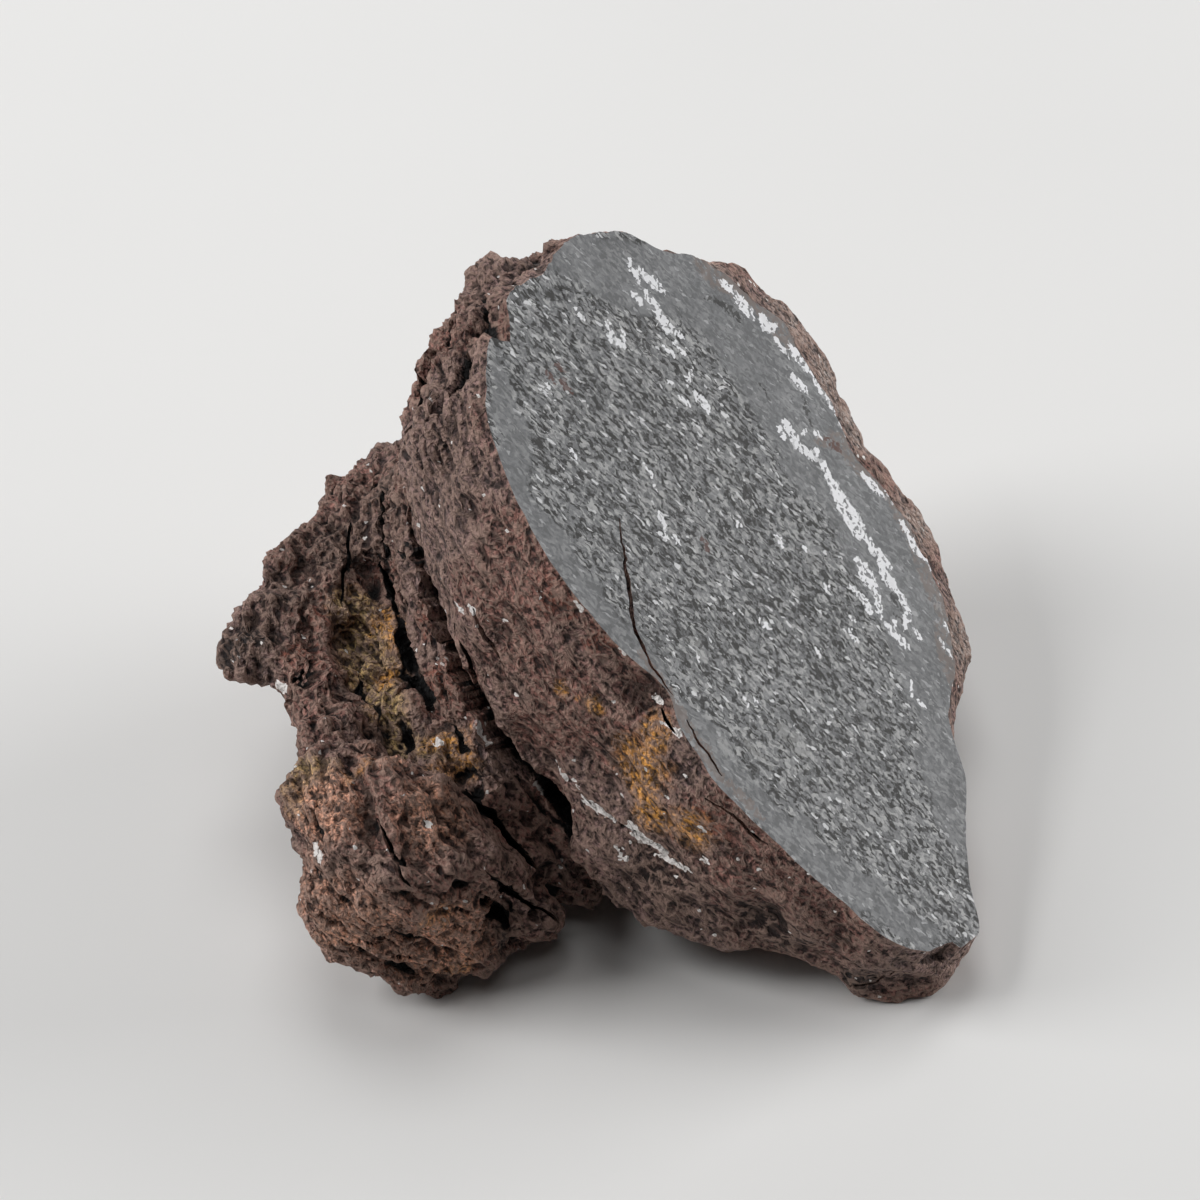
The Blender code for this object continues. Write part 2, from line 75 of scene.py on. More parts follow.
MM = 0.001
NODE = "meteorite"
MOUNTS = {mount["name"]: mount for mount in frame["record"]["mounts"]}

# The sawn face's own frame: u down its long axis, v across it, w out of it.
FACE_POINT = Vector(MOUNTS["sawn_face"]["pos_m"])
FACE_HEADING = math.radians(-16)
FACE_TILT = math.radians(40)
FACE_SPIN = math.radians(-21)
FACE_TURN = Matrix.Rotation(FACE_HEADING, 4, "Z") @ Matrix.Rotation(FACE_TILT, 4, "Y")
FACE_TURN = FACE_TURN @ Matrix.Rotation(FACE_SPIN, 4, "Z")
FACE_PLACE = Matrix.Translation(FACE_POINT) @ FACE_TURN

# Cracks: the way each runs inwards in u, v and depth, its widest gap and deepest reach,
# and the points of its mouth in u, v and depth, all in millimetres.
CRACKS = {
    "crevice": ((0.25, 1.0, 0.1), 1.15, 4.0, [
        (-13.4, -2.4, 8.0), (-11.9, -3.6, 8.0), (-10.0, -5.0, 8.2), (-7.3, -6.3, 8.0), (-5.4, -7.0, 8.1),
        (-3.4, -7.4, 8.1), (-1.6, -7.6, 8.1), (0.7, -7.5, 8.3), (2.9, -7.0, 8.6), (5.0, -6.6, 9.2), (7.4, -6.0, 9.8),
    ]),
    "second crack": ((0.1, 1.0, 0.15), 0.36, 1.3, [
        (-6.0, -7.3, 6.7), (-4.9, -7.4, 7.1), (-3.2, -7.3, 7.5), (-1.7, -7.3, 7.8),
    ]),
    "short flank crack": ((0.0, 1.0, 0.1), 0.3, 0.9, [
        (-6.0, -8.1, 4.6), (-5.3, -8.1, 4.9), (-4.4, -8.0, 5.1), (-3.5, -7.9, 5.2),
    ]),
    "ridge crack": ((1.0, 0.6, 0.1), 0.5, 1.4, [
        (-16.0, 0.6, 1.4), (-15.7, -0.6, 1.2), (-14.8, -2.4, 1.2), (-14.2, -3.6, 1.5), (-13.2, -5.1, 1.8),
        (-12.6, -5.6, 3.0),
    ]),
    "ridge back crack": ((1.0, 0.5, 0.1), 0.5, 1.2, [
        (-15.6, -1.0, 2.6), (-14.7, -3.2, 3.0), (-14.0, -3.7, 4.2), (-13.5, -3.9, 4.9),
    ]),
    "ridge foot crack": ((1.0, 0.7, 0.2), 0.4, 1.0, [
        (-14.9, -3.0, 3.8), (-13.9, -4.6, 3.9), (-13.0, -5.3, 4.9), (-11.8, -5.9, 5.8),
    ]),
    "lobe slit": ((0.6, 0.75, -0.2), 0.55, 1.5, [
        (-12.6, -0.6, 11.2), (-11.2, -2.6, 10.5), (-9.6, -4.8, 9.3), (-8.6, -5.6, 8.9),
    ]),
    "upper lobe recess": ((0.7, 0.7, 0.2), 0.5, 1.2, [
        (-12.5, -0.8, 11.3), (-11.2, -2.1, 11.3), (-9.9, -2.6, 11.8),
    ]),
    "lower lobe recess": ((0.6, 0.6, 0.4), 0.45, 1.1, [
        (-10.2, -2.5, 12.2), (-8.9, -3.5, 12.0), (-7.7, -4.3, 11.5),
    ]),
    "lobe wrinkle": ((0.4, 0.3, 0.85), 0.3, 0.7, [
        (-12.6, -1.6, 12.6), (-10.9, -3.7, 12.7), (-9.4, -6.0, 12.3),
    ]),
    "plate slot": ((-0.2, -0.5, 0.8), 0.5, 1.3, [
        (-8.8, -7.6, 13.0), (-7.4, -9.0, 12.5), (-6.0, -10.0, 12.0), (-5.2, -10.5, 11.6),
    ]),
    "flank ledge": ((0.0, 1.0, -0.5), 0.36, 1.0, [
        (1.6, -7.8, 7.1), (3.5, -7.8, 6.0), (5.8, -7.8, 4.9), (7.8, -7.6, 4.1),
    ]),
    "plate gap": ((-0.5, 0.5, 0.8), 0.6, 2.0, [
        (-0.8, -11.1, 7.9), (1.2, -9.2, 9.2), (3.8, -8.0, 10.3),
    ]),
    "block crack": ((-0.7, 0.2, 0.7), 0.4, 1.3, [
        (2.8, -12.0, 8.6), (4.5, -10.1, 9.8), (6.0, -8.3, 10.7),
    ]),
    "block groove": ((0.2, 1.0, 0.5), 0.35, 0.8, [
        (-1.5, -14.3, 9.6), (-0.1, -14.9, 9.5), (1.3, -15.2, 9.3),
    ]),
    "back crack": ((-0.3, -1.0, 0.1), 0.6, 1.8, [
        (-9.8, 14.6, 3.5), (-7.8, 14.9, 4.4), (-5.6, 14.6, 4.5), (-3.0, 13.9, 5.2), (-0.8, 13.3, 5.0),
    ]),
    "back crevice": ((0.2, -1.0, 0.0), 0.8, 2.5, [
        (-11.4, 10.6, 7.5), (-9.0, 12.4, 8.1), (-6.4, 12.6, 8.0), (-3.4, 12.0, 8.5), (-0.6, 11.1, 8.2),
    ]),
    "foot crack": ((-0.6, 0.8, 0.0), 0.25, 0.8, [
        (14.9, -4.2, 4.0), (15.5, -3.7, 2.8), (15.6, -3.7, 1.4),
    ]),
    "face crack": ((0.0, 0.25, 1.0), 0.3, 1.2, [
        (-5.5, -3.1, 0.0), (-3.7, -4.6, 0.0), (-2.6, -5.4, 0.0), (-1.4, -6.4, 0.0), (-0.3, -6.7, 0.0),
        (0.6, -6.8, 0.0), (1.3, -6.8, 0.0),
    ]),
    "rim crack": ((0.0, 0.3, 1.0), 0.24, 0.9, [
        (2.4, -7.0, 0.0), (3.2, -7.15, 0.0), (3.9, -7.25, 0.0), (5.0, -7.3, 0.0),
    ]),
    "upper rim crack": ((0.0, 0.7, 0.7), 0.22, 0.6, [
        (1.0, -7.6, 0.2), (1.8, -7.6, 0.3), (2.6, -7.6, 0.3),
    ]),
    "lower rim crack": ((0.0, 1.0, 0.3), 0.26, 0.8, [
        (5.2, -8.0, 0.8), (6.7, -7.5, 0.5), (8.2, -6.8, 0.4),
    ]),
}
MOUTH_OVERRUN = 1.6
CRACK_STEP = 0.25
CRACK_WANDER = 0.18
BEND_STEPS = 5

# Chips gone from the rim of the sawn face: depth, then outline in u and v, millimetres.
CHIPS = {
    "upper left notch": (1.3, [
        (-16.6, -0.4), (-15.6, -0.3), (-14.5, -1.1), (-13.4, -2.2), (-13.9, -2.9), (-15.0, -3.4),
    ]),
    "left chip": (0.7, [(-16.8, 0.3), (-16.8, 1.7), (-15.6, 1.5), (-15.4, 1.0), (-15.7, 0.4)]),
    "far left chip": (0.8, [(-17.0, 2.2), (-17.0, 4.8), (-15.9, 4.8), (-15.6, 2.9)]),
    "low right chip": (0.9, [(16.8, -1.2), (15.9, -1.4), (15.5, -2.9), (15.4, -4.6), (16.8, -4.6)]),
}
CHIP_CLEARANCE = 1.4
CHIP_WAIST = 0.55
FACE_SPARE = 0.8

# A lump of crust that half closes the head of the gap between the plates and the block:
# its middle and its radius, millimetres in the part's own frame.
GAP_LUMP = (-5.4, -8.5, 6.2, 0.75)
CUT_BLOCK = 60

# Marks on the sawn face: start and end in u and v, then half width, millimetres.
# White flecks: metal grains, painted white as their reflections.
WHITE_FLECK_REFLECTIONS = [
    (-12.3, 12.2, -11.9, 12.4, 0.18), (-11.1, 12.0, -10.7, 12.1, 0.25), (-10.2, 12.2, -9.6, 12.2, 0.36),
    (-9.0, 12.8, -8.6, 12.7, 0.29), (-8.6, 12.5, -8.4, 13.1, 0.22), (-7.9, 12.6, -7.0, 12.6, 0.15),
    (-7.2, 13.2, -6.3, 13.3, 0.26), (-6.3, 13.3, -4.6, 13.3, 0.30), (-6.3, 14.0, -5.8, 14.0, 0.18),
    (-6.0, 12.1, -5.6, 12.2, 0.26), (-4.2, 13.4, -3.6, 13.2, 0.32), (-3.6, 13.2, -2.9, 12.9, 0.31),
    (-2.5, 13.2, -2.2, 13.2, 0.18), (-0.9, 12.0, 0.1, 12.2, 0.21), (0.1, 12.8, 1.3, 12.9, 0.26),
    (1.6, 12.2, 2.1, 12.1, 0.18), (2.5, 12.1, 3.2, 12.1, 0.33), (3.4, 12.1, 4.1, 12.1, 0.18),
    (6.0, 10.4, 6.4, 10.3, 0.14), (6.6, 9.5, 7.2, 9.4, 0.14), (-4.8, 9.1, -4.3, 9.0, 0.14),
    (-4.6, 9.6, -3.6, 9.5, 0.28), (-4.0, 10.1, -4.0, 10.6, 0.10), (-3.6, 11.0, -3.5, 11.0, 0.12),
    (-3.4, 9.6, -3.0, 9.8, 0.24), (-3.0, 9.8, -3.0, 10.4, 0.15), (-2.5, 10.1, -1.5, 9.8, 0.24),
    (-1.5, 9.8, -0.5, 9.6, 0.39), (-0.5, 9.6, 0.6, 9.4, 0.53), (0.7, 9.5, 1.2, 9.5, 0.14),
    (1.4, 9.5, 2.5, 9.6, 0.28), (2.0, 8.0, 2.9, 7.9, 0.39), (2.7, 8.2, 3.9, 7.2, 0.25),
    (2.5, 9.1, 3.7, 9.0, 0.28), (3.8, 9.1, 4.7, 8.8, 0.24), (4.7, 8.8, 5.1, 8.0, 0.18),
    (2.4, 6.6, 3.1, 6.8, 0.17), (3.1, 6.8, 3.6, 6.7, 0.24), (4.7, 7.1, 5.7, 7.3, 0.24),
    (4.5, 7.7, 4.7, 7.6, 0.17), (5.7, 7.3, 5.8, 7.2, 0.12), (5.6, 8.4, 5.8, 8.4, 0.17),
    (3.3, 5.3, 3.6, 5.5, 0.12), (3.9, 4.8, 4.3, 4.8, 0.14), (7.1, 6.0, 7.4, 5.6, 0.11),
    (7.8, 5.7, 8.1, 5.8, 0.14), (9.4, 6.7, 9.8, 6.7, 0.17), (-1.1, 4.5, -0.8, 4.4, 0.17),
    (-0.2, 5.6, 0.0, 5.5, 0.13), (1.6, 5.1, 1.9, 5.3, 0.13), (1.1, 0.4, 1.6, 0.5, 0.13),
    (3.4, 2.2, 3.7, 2.2, 0.13), (3.6, -2.9, 3.7, -2.9, 0.13), (3.3, -3.4, 3.7, -3.7, 0.12),
    (-14.0, 7.5, -13.2, 7.2, 0.16), (-13.4, 7.7, -12.4, 8.1, 0.27), (-12.8, 6.3, -12.4, 6.4, 0.14),
    (-12.4, 7.1, -11.6, 7.0, 0.28), (-11.6, 7.0, -10.8, 6.8, 0.27), (-10.9, 7.0, -10.3, 7.3, 0.20),
    (-10.1, 6.7, -9.6, 6.7, 0.17), (-10.2, 6.0, -9.8, 6.1, 0.14), (-8.8, 6.4, -8.4, 5.6, 0.14),
    (-8.1, 4.8, -7.7, 5.0, 0.16), (-7.8, 5.8, -7.2, 5.8, 0.24), (-9.0, 4.8, -8.8, 4.9, 0.13),
    (-12.3, 3.7, -11.8, 3.6, 0.20), (-11.7, 3.4, -11.2, 3.7, 0.19), (-11.7, 4.3, -11.3, 3.9, 0.11),
    (-13.4, 2.6, -13.0, 2.6, 0.13), (-11.6, -1.8, -11.1, -1.9, 0.11), (-4.6, -0.8, -4.0, -1.1, 0.13),
    (-4.0, -1.6, -3.5, -1.2, 0.19), (-3.6, -0.9, -3.2, -0.9, 0.12), (-6.7, 0.3, -5.7, 0.0, 0.13),
    (-8.9, -3.0, -8.4, -3.0, 0.13), (-2.7, 2.9, -2.5, 3.0, 0.13), (0.7, -4.2, 0.9, -4.3, 0.12),
]
GREY_CLASTS = [
    (0.1, 5.5, 0.7, 5.4, 0.41), (5.3, -2.6, 6.1, -2.3, 0.43), (4.1, -6.1, 4.6, -6.1, 0.30),
    (6.3, 2.6, 7.0, 2.6, 0.20), (0.2, -3.8, 0.8, -4.0, 0.28), (5.2, 10.7, 5.5, 10.7, 0.18),
    (9.1, 6.9, 9.5, 6.9, 0.28), (4.7, -4.8, 5.8, -4.6, 0.27),
]
DARK_MARKS = [
    (-11.2, 10.0, -10.7, 10.8, 0.08), (-10.7, 10.8, -10.2, 11.1, 0.20), (-10.2, 11.1, -9.6, 11.3, 0.26),
    (-6.7, 9.8, -6.0, 9.8, 0.11), (-5.5, 11.9, -3.9, 11.0, 0.11), (-4.7, 4.6, -3.6, 4.7, 0.17),
    (-3.6, 4.7, -2.6, 4.6, 0.27), (-1.4, 4.3, -1.0, 4.4, 0.11), (-0.3, 4.1, -0.2, 4.5, 0.15),
    (-0.3, 5.1, -0.1, 5.3, 0.13), (3.7, 8.7, 4.3, 8.5, 0.24), (4.4, 7.9, 4.8, 8.1, 0.13),
    (-1.5, 2.1, -1.1, 2.0, 0.11), (-6.8, 5.2, -6.5, 5.2, 0.14), (-14.7, 2.4, -14.5, 2.5, 0.11),
    (-5.0, -0.4, -4.7, -0.4, 0.13), (0.3, -4.6, 0.0, -4.0, 0.09), (0.3, -3.4, 0.7, -3.7, 0.09),
    (-11.0, 4.8, -10.5, 5.0, 0.20), (-2.2, -0.6, -1.8, -0.6, 0.11), (6.0, 0.6, 6.3, 0.7, 0.12),
    (6.7, 3.7, 7.1, 3.8, 0.13),
]
RUSTY_PITS = [
    (-11.9, -1.2, -11.5, -1.3, 0.15), (-11.9, -0.5, -11.7, -0.5, 0.16), (-11.2, -0.9, -10.8, -0.8, 0.19),
    (-3.0, 11.4, -2.7, 11.6, 0.27), (-2.8, 0.5, -2.4, 0.3, 0.16),
]
TAUPE_RIM = [
    (-11.8, 12.1, -10.0, 14.0, 1.10), (-10.2, 13.8, -7.3, 14.1, 1.19), (-7.6, 14.2, -4.2, 13.6, 0.59),
    (-3.3, 10.9, -2.4, 12.2, 0.27), (-2.5, 12.1, 0.2, 12.9, 0.71), (0.0, 12.9, 3.0, 12.2, 0.51),
    (2.9, 12.1, 6.2, 10.8, 0.70), (6.6, 9.7, 8.7, 8.6, 0.67), (-0.7, -6.9, 0.3, -6.9, 0.24),
    (0.1, -7.0, 1.1, -6.9, 0.27), (1.0, -7.0, 3.0, -7.2, 0.33), (2.9, -7.2, 5.0, -7.4, 0.33),
    (4.9, -7.3, 7.1, -6.8, 0.23),
]
SMOOTH_BANDS = [
    (-13.2, -3.4, -8.3, -7.3, 0.80), (-8.3, -7.4, -2.5, -7.6, 1.25), (-2.5, -7.5, 2.5, -7.2, 1.25),
    (1.6, -7.0, 7.2, -6.7, 1.15), (6.3, -6.5, 11.9, -5.2, 1.05), (11.3, -5.2, 15.0, -3.0, 0.95),
    (-15.7, 3.9, -11.5, 10.3, 1.89), (-11.5, 10.3, -6.3, 12.8, 3.10), (-7.0, 11.0, -0.3, 10.7, 3.24),
    (-1.6, 11.4, 5.3, 9.1, 2.79), (4.4, 9.4, 10.3, 5.8, 2.28), (9.6, 5.4, 12.9, 2.9, 1.55),
]

# Bright flakes caught in the crust, painted white as glints: start, end and half width, millimetres in the part's own
# frame.
FLAKE_GLINTS = [
    ((-1.6, -8.5, 7.8), (-1.4, -9.2, 7.6), 0.16), ((-1.1, -9.4, 7.8), (-0.7, -9.7, 7.5), 0.12),
    ((-0.6, -9.9, 7.1), (0.3, -10.6, 6.9), 0.18), ((-2.7, -8.0, 6.1), (-1.9, -8.1, 5.4), 0.14),
    ((1.2, -11.2, 6.9), (1.5, -11.4, 6.6), 0.24), ((1.5, -11.4, 6.6), (2.3, -11.9, 6.4), 0.18),
    ((0.7, -11.4, 5.8), (1.1, -11.6, 5.3), 0.16), ((2.3, -12.0, 6.0), (3.4, -12.8, 6.1), 0.15),
    ((3.8, -13.2, 7.3), (4.1, -13.4, 7.1), 0.13), ((-0.9, -8.0, 15.8), (-0.8, -8.1, 15.7), 0.14),
    ((0.8, -9.0, 14.4), (0.9, -9.1, 14.4), 0.12), ((2.1, -9.7, 12.5), (2.3, -9.9, 12.4), 0.12),
    ((2.4, -10.6, 12.0), (2.5, -10.8, 11.9), 0.12), ((2.9, -11.0, 12.0), (3.0, -11.2, 11.9), 0.14),
    ((-7.0, -3.6, 9.9), (-6.9, -3.9, 9.6), 0.12), ((-6.8, -4.0, 9.6), (-6.7, -4.4, 9.3), 0.12),
    ((-6.8, -7.0, 7.7), (-6.5, -7.3, 7.7), 0.16), ((-6.8, -12.3, 8.3), (-6.7, -12.4, 8.1), 0.12),
    ((-5.7, -5.2, 13.3), (-5.5, -5.6, 13.3), 0.09), ((-5.2, -5.8, 13.8), (-5.0, -6.1, 13.5), 0.09),
    ((-3.8, -6.7, 13.7), (-3.7, -6.9, 13.3), 0.09), ((3.9, -13.0, 8.6), (4.0, -13.1, 8.5), 0.10),
    ((-4.9, -7.0, 8.3), (-4.5, -7.5, 8.0), 0.18), ((-13.2, -4.3, 8.1), (-12.8, -4.5, 8.0), 0.18),
    ((-12.7, -4.5, 8.0), (-12.4, -4.7, 7.9), 0.20), ((-11.1, -12.9, 7.5), (-10.9, -13.5, 7.4), 0.20),
    ((-6.1, -5.9, 7.9), (-6.0, -6.0, 7.8), 0.09),
]

# Stains of the crust, with painted shade in the umber and soot spots and painted light in the tan ones: centre and
# radius of each spot, millimetres in the part's own frame.
STAINS = {
    "red": [
        (-6.5, -5.1, 8.5, 1.4), (-7.4, -2.8, 10.3, 1.0), (-12.3, -3.2, 9.0, 1.2), (-12.0, -1.2, 9.4, 1.4),
        (-1.6, -7.8, 15.8, 1.3), (0.0, -8.8, 14.7, 1.3), (-9.8, 1.5, 9.2, 1.3), (4.0, -13.4, 9.4, 1.5),
        (8.0, 9.0, 8.0, 2.5), (-4.0, 12.0, 9.0, 2.5), (12.0, 2.0, 5.0, 2.2),
    ],
    "green": [
        (-10.3, -0.6, 9.0, 1.3), (-9.9, -1.6, 8.1, 1.5), (-9.4, -3.4, 7.4, 1.6), (-8.8, -5.0, 7.3, 1.3),
        (-8.2, -6.6, 6.8, 1.2), (-6.8, -7.4, 7.3, 1.1), (-11.8, -11.5, 8.7, 1.3), (-11.5, -10.3, 9.1, 1.1),
        (-9.0, 9.5, 5.0, 2.2), (2.0, 12.5, 5.5, 1.8),
    ],
    "ochre": [
        (2.1, -10.8, 11.6, 0.9), (1.5, -11.0, 9.9, 1.5), (3.5, -12.8, 8.3, 1.2), (1.9, -11.7, 8.3, 1.1),
        (-0.4, -9.4, 12.0, 0.6), (-1.4, -8.7, 11.9, 0.5), (-10.0, -10.8, 9.4, 0.6), (-9.4, -10.6, 9.5, 0.6),
        (-8.4, -1.7, 8.1, 0.9), (-8.9, -1.0, 8.6, 0.9), (-8.6, -3.4, 7.5, 0.8), (-6.4, -7.2, 7.5, 1.1),
        (-5.6, -7.8, 7.2, 1.1), (-6.4, -9.2, 7.8, 1.0), (-5.2, -6.9, 7.3, 0.9), (-5.8, -14.1, 2.0, 1.0),
        (-6.5, -14.8, 5.0, 1.2), (6.5, 11.0, 5.0, 1.6), (-13.0, 4.0, 7.0, 1.0),
    ],
    "ash": [
        (3.9, 13.4, 15.9, 1.8), (7.9, 13.0, 12.6, 2.0), (9.4, 11.4, 11.2, 1.8), (10.6, 9.9, 9.8, 2.0),
        (13.1, 6.6, 6.9, 2.0), (14.8, 1.9, 4.5, 2.0), (14.7, -4.1, 3.2, 1.8),
    ],
    "tan": [
        (-9.5, -13.6, 5.0, 3.4), (-6.6, -14.0, 3.4, 3.0), (-10.8, -12.0, 8.6, 2.0), (-6.6, -12.0, 8.2, 2.0),
        (-8.6, -9.8, 9.2, 1.4),
    ],
    "umber_shade": [
        (-9.4, 5.0, 11.8, 2.6), (-11.0, 2.4, 10.0, 2.6), (-12.8, -0.4, 9.4, 1.8), (-14.2, -2.4, 9.2, 1.6),
        (-9.0, 2.0, 12.0, 2.0), (-7.6, 3.4, 14.0, 1.6), (3.0, -12.6, 5.0, 2.8), (7.0, -13.4, 4.0, 2.8),
    ],
    "soot_and_hole_shade": [
        (-15.6, -3.0, 8.6, 1.4), (-14.4, -2.9, 9.1, 0.8), (0.4, -10.0, 9.9, 0.6), (-3.8, -13.0, 2.2, 1.0),
        (10.3, -14.4, 1.4, 1.4), (-13.4, 5.0, 9.5, 0.8), (-10.4, -4.6, 8.0, 0.9), (-9.3, -6.6, 7.2, 0.9),
        (-8.0, -4.9, 7.4, 0.6), (-8.5, -7.5, 6.6, 0.7),
    ],
}

SMOOTHINGS = 7
SHARP_ANGLE = math.radians(55)
LONGEST_CRUST_EDGE = 0.9
DENTS = {"fine dent": 5, "broad dent": 90}
WIDEST_CRACK = 1.5
CRACK_FILL = 0.15
FEELERS = 14
FEELER_REACH = 3.2
STAIN_LEAST = 0.4
MARKS_TOGETHER = 12
CAMERA_TARGET = (-0.055, -4.040, 12.5)

# Soft lights: heading from +X towards +Y and height above the table in degrees, then
# width, height, power in watts; all stand at the same distance from the stone.
LIGHTS = {
    "left window": (182, 33, 0.20, 0.30, 1.60),
    "right window": (20, 17, 0.32, 0.16, 1.58),
    "high back window": (98, 66, 0.22, 0.24, 0.56),
    "low back window": (98, 16, 0.36, 0.14, 0.30),
    "front wall": (268, 76, 0.26, 0.16, 0.12),
}
LIGHT_DISTANCE = 0.45


def metres(*millimetres):
    return Vector(millimetres) * MM


def share(value, start, end):
    """How far a value has come from start to end, from 0 to 1."""
    return min(max((value - start) / (end - start), 0.0), 1.0)


class StoneSettings(bpy.types.PropertyGroup):
    facet: FloatProperty(
        name="Facet", description="Edge of the finest facets of the crust",
        default=0.13 * MM, unit="LENGTH",
    )
    triangles: IntProperty(
        name="Triangles", description="Triangles of the whole stone before its cracks are cut",
        default=184000,
    )
    lump_height: FloatProperty(
        name="Lump height", description="Height of the rounded lumps of the crust",
        default=0.28 * MM, unit="LENGTH",
    )
    crag_height: FloatProperty(
        name="Crag height", description="Height of the sharp ridges that follow the layering",
        default=0.25 * MM, unit="LENGTH",
    )
    grain_size: FloatProperty(
        name="Grain size", description="Width of the grains that stand out of the crust",
        default=0.50 * MM, unit="LENGTH",
    )
    grain_height: FloatProperty(
        name="Grain height", description="Height of those grains",
        default=0.07 * MM, unit="LENGTH",
    )
    layer_height: FloatProperty(
        name="Layer height", description="Height of the ledges that follow the layering",
        default=0.42 * MM, unit="LENGTH",
    )
    pit_depth: FloatProperty(
        name="Pit depth", description="Depth of the scattered pits",
        default=0.10 * MM, unit="LENGTH",
    )
    calm: FloatProperty(
        name="Calm", description="Share of the relief that the smoother flank of the slab keeps",
        default=0.3,
    )


class CrustSettings(bpy.types.PropertyGroup):
    brown: FloatVectorProperty(
        name="Brown", description="Plain purple-brown crust", subtype="COLOR", size=3,
        default=(0.165, 0.079, 0.064),
    )
    grey: FloatVectorProperty(
        name="Grey", description="Crust where it is greyer", subtype="COLOR", size=3,
        default=(0.150, 0.095, 0.086),
    )
    # Dark is both the darker crust between grains and painted shade in hollows and dents.
    dark: FloatVectorProperty(
        name="Dark", description="Crust between grains, and painted shade in hollows", subtype="COLOR", size=3,
        default=(0.016, 0.008, 0.007),
    )
    # Pale is partly worn grain tops and partly painted highlight on ridges and bumps.
    pale_wear_and_highlight: FloatVectorProperty(
        name="Pale", description="Worn tops of the grains, and painted highlight", subtype="COLOR", size=3,
        default=(0.46, 0.31, 0.25),
    )
    red: FloatVectorProperty(
        name="Red", description="Red-brown rust", subtype="COLOR", size=3,
        default=(0.165, 0.058, 0.040),
    )
    green: FloatVectorProperty(
        name="Green", description="Olive weathering in the hollows", subtype="COLOR", size=3,
        default=(0.420, 0.290, 0.130),
    )
    ochre: FloatVectorProperty(
        name="Ochre", description="Orange-yellow rust", subtype="COLOR", size=3,
        default=(0.520, 0.240, 0.050),
    )
    ash: FloatVectorProperty(
        name="Ash", description="Grey-brown crust of the worn far lip", subtype="COLOR", size=3,
        default=(0.220, 0.182, 0.165),
    )
    # Tan is partly the block's paler crust and partly painted light that lifts its front.
    tan: FloatVectorProperty(
        name="Tan", description="Paler crust and painted light on the front block", subtype="COLOR", size=3,
        default=(0.500, 0.255, 0.170),
    )
    # Umber is painted shade: dark brown laid over the top of the lobe behind the crevice and a few lower spots.
    umber_shade: FloatVectorProperty(
        name="Umber", description="Dark brown painted shade over the top behind the crevice", subtype="COLOR", size=3,
        default=(0.026, 0.012, 0.010),
    )
    # Painted shade: the near black that darkens the crust in cracks and crevices where other stone closes in.
    shadow: FloatVectorProperty(
        name="Shadow", description="Painted shade deep in the cracks", subtype="COLOR", size=3,
        default=(0.006, 0.005, 0.005),
    )
    # Soot is black on the spike's tip and painted shade in holes and in the hollow.
    soot_and_hole_shade: FloatVectorProperty(
        name="Soot", description="Black tips, and painted shade in holes", subtype="COLOR", size=3,
        default=(0.014, 0.011, 0.011),
    )
    # Flake and glint: the white of the metal flakes, partly painted glint, and of rare random specks, which are
    # painted glints.
    flake_and_glint: FloatVectorProperty(
        name="Flake", description="Bright flakes caught in the crust", subtype="COLOR", size=3,
        default=(0.90, 0.85, 0.82),
    )


class SawnSettings(bpy.types.PropertyGroup):
    grey: FloatVectorProperty(
        name="Grey", description="Plain grey of the sawn stone", subtype="COLOR", size=3,
        default=(0.158, 0.161, 0.166),
    )
    dark: FloatVectorProperty(
        name="Dark", description="Dark laths of the sawn stone", subtype="COLOR", size=3,
        default=(0.032, 0.031, 0.030),
    )
    light: FloatVectorProperty(
        name="Light", description="Light laths of the sawn stone", subtype="COLOR", size=3,
        default=(0.34, 0.34, 0.335),
    )
    # White is partly the metal's own colour and partly painted reflection; it also paints the face's glints.
    white: FloatVectorProperty(
        name="White", description="White metal flecks, painted as reflections", subtype="COLOR", size=3,
        default=(0.80, 0.80, 0.82),
    )
    taupe: FloatVectorProperty(
        name="Taupe", description="Brownish strip along the rim", subtype="COLOR", size=3,
        default=(0.165, 0.138, 0.126),
    )
    rust: FloatVectorProperty(
        name="Rust", description="Rusty pits", subtype="COLOR", size=3,
        default=(0.085, 0.036, 0.028),
    )
    lath: FloatProperty(
        name="Lath", description="Width of the fine crystals", default=0.12 * MM, unit="LENGTH",
    )


class StudioSettings(bpy.types.PropertyGroup):
    table: FloatVectorProperty(
        name="Table", description="Colour of the table", subtype="COLOR", size=3,
        default=(0.80, 0.795, 0.785),
    )
    brightness: FloatProperty(
        name="Brightness", description="Strength of all the soft lights together", default=1.0,
    )
    room_light: FloatProperty(
        name="Room light", description="Even light from all round", default=0.02,
    )


def new_piece(name, shape):
    """Put a bmesh into the scene as an object."""
    mesh = bpy.data.meshes.new(name)
    shape.to_mesh(mesh)
    shape.free()
    piece = bpy.data.objects.new(name, mesh)
    bpy.context.scene.collection.objects.link(piece)
    return piece


def settled(piece):
    """Turn the piece's modifiers into its own mesh."""
    bpy.context.view_layer.update()
    graph = bpy.context.evaluated_depsgraph_get()
    mesh = bpy.data.meshes.new_from_object(piece.evaluated_get(graph))
    piece.modifiers.clear()
    old = piece.data
    piece.data = mesh
    bpy.data.meshes.remove(old)


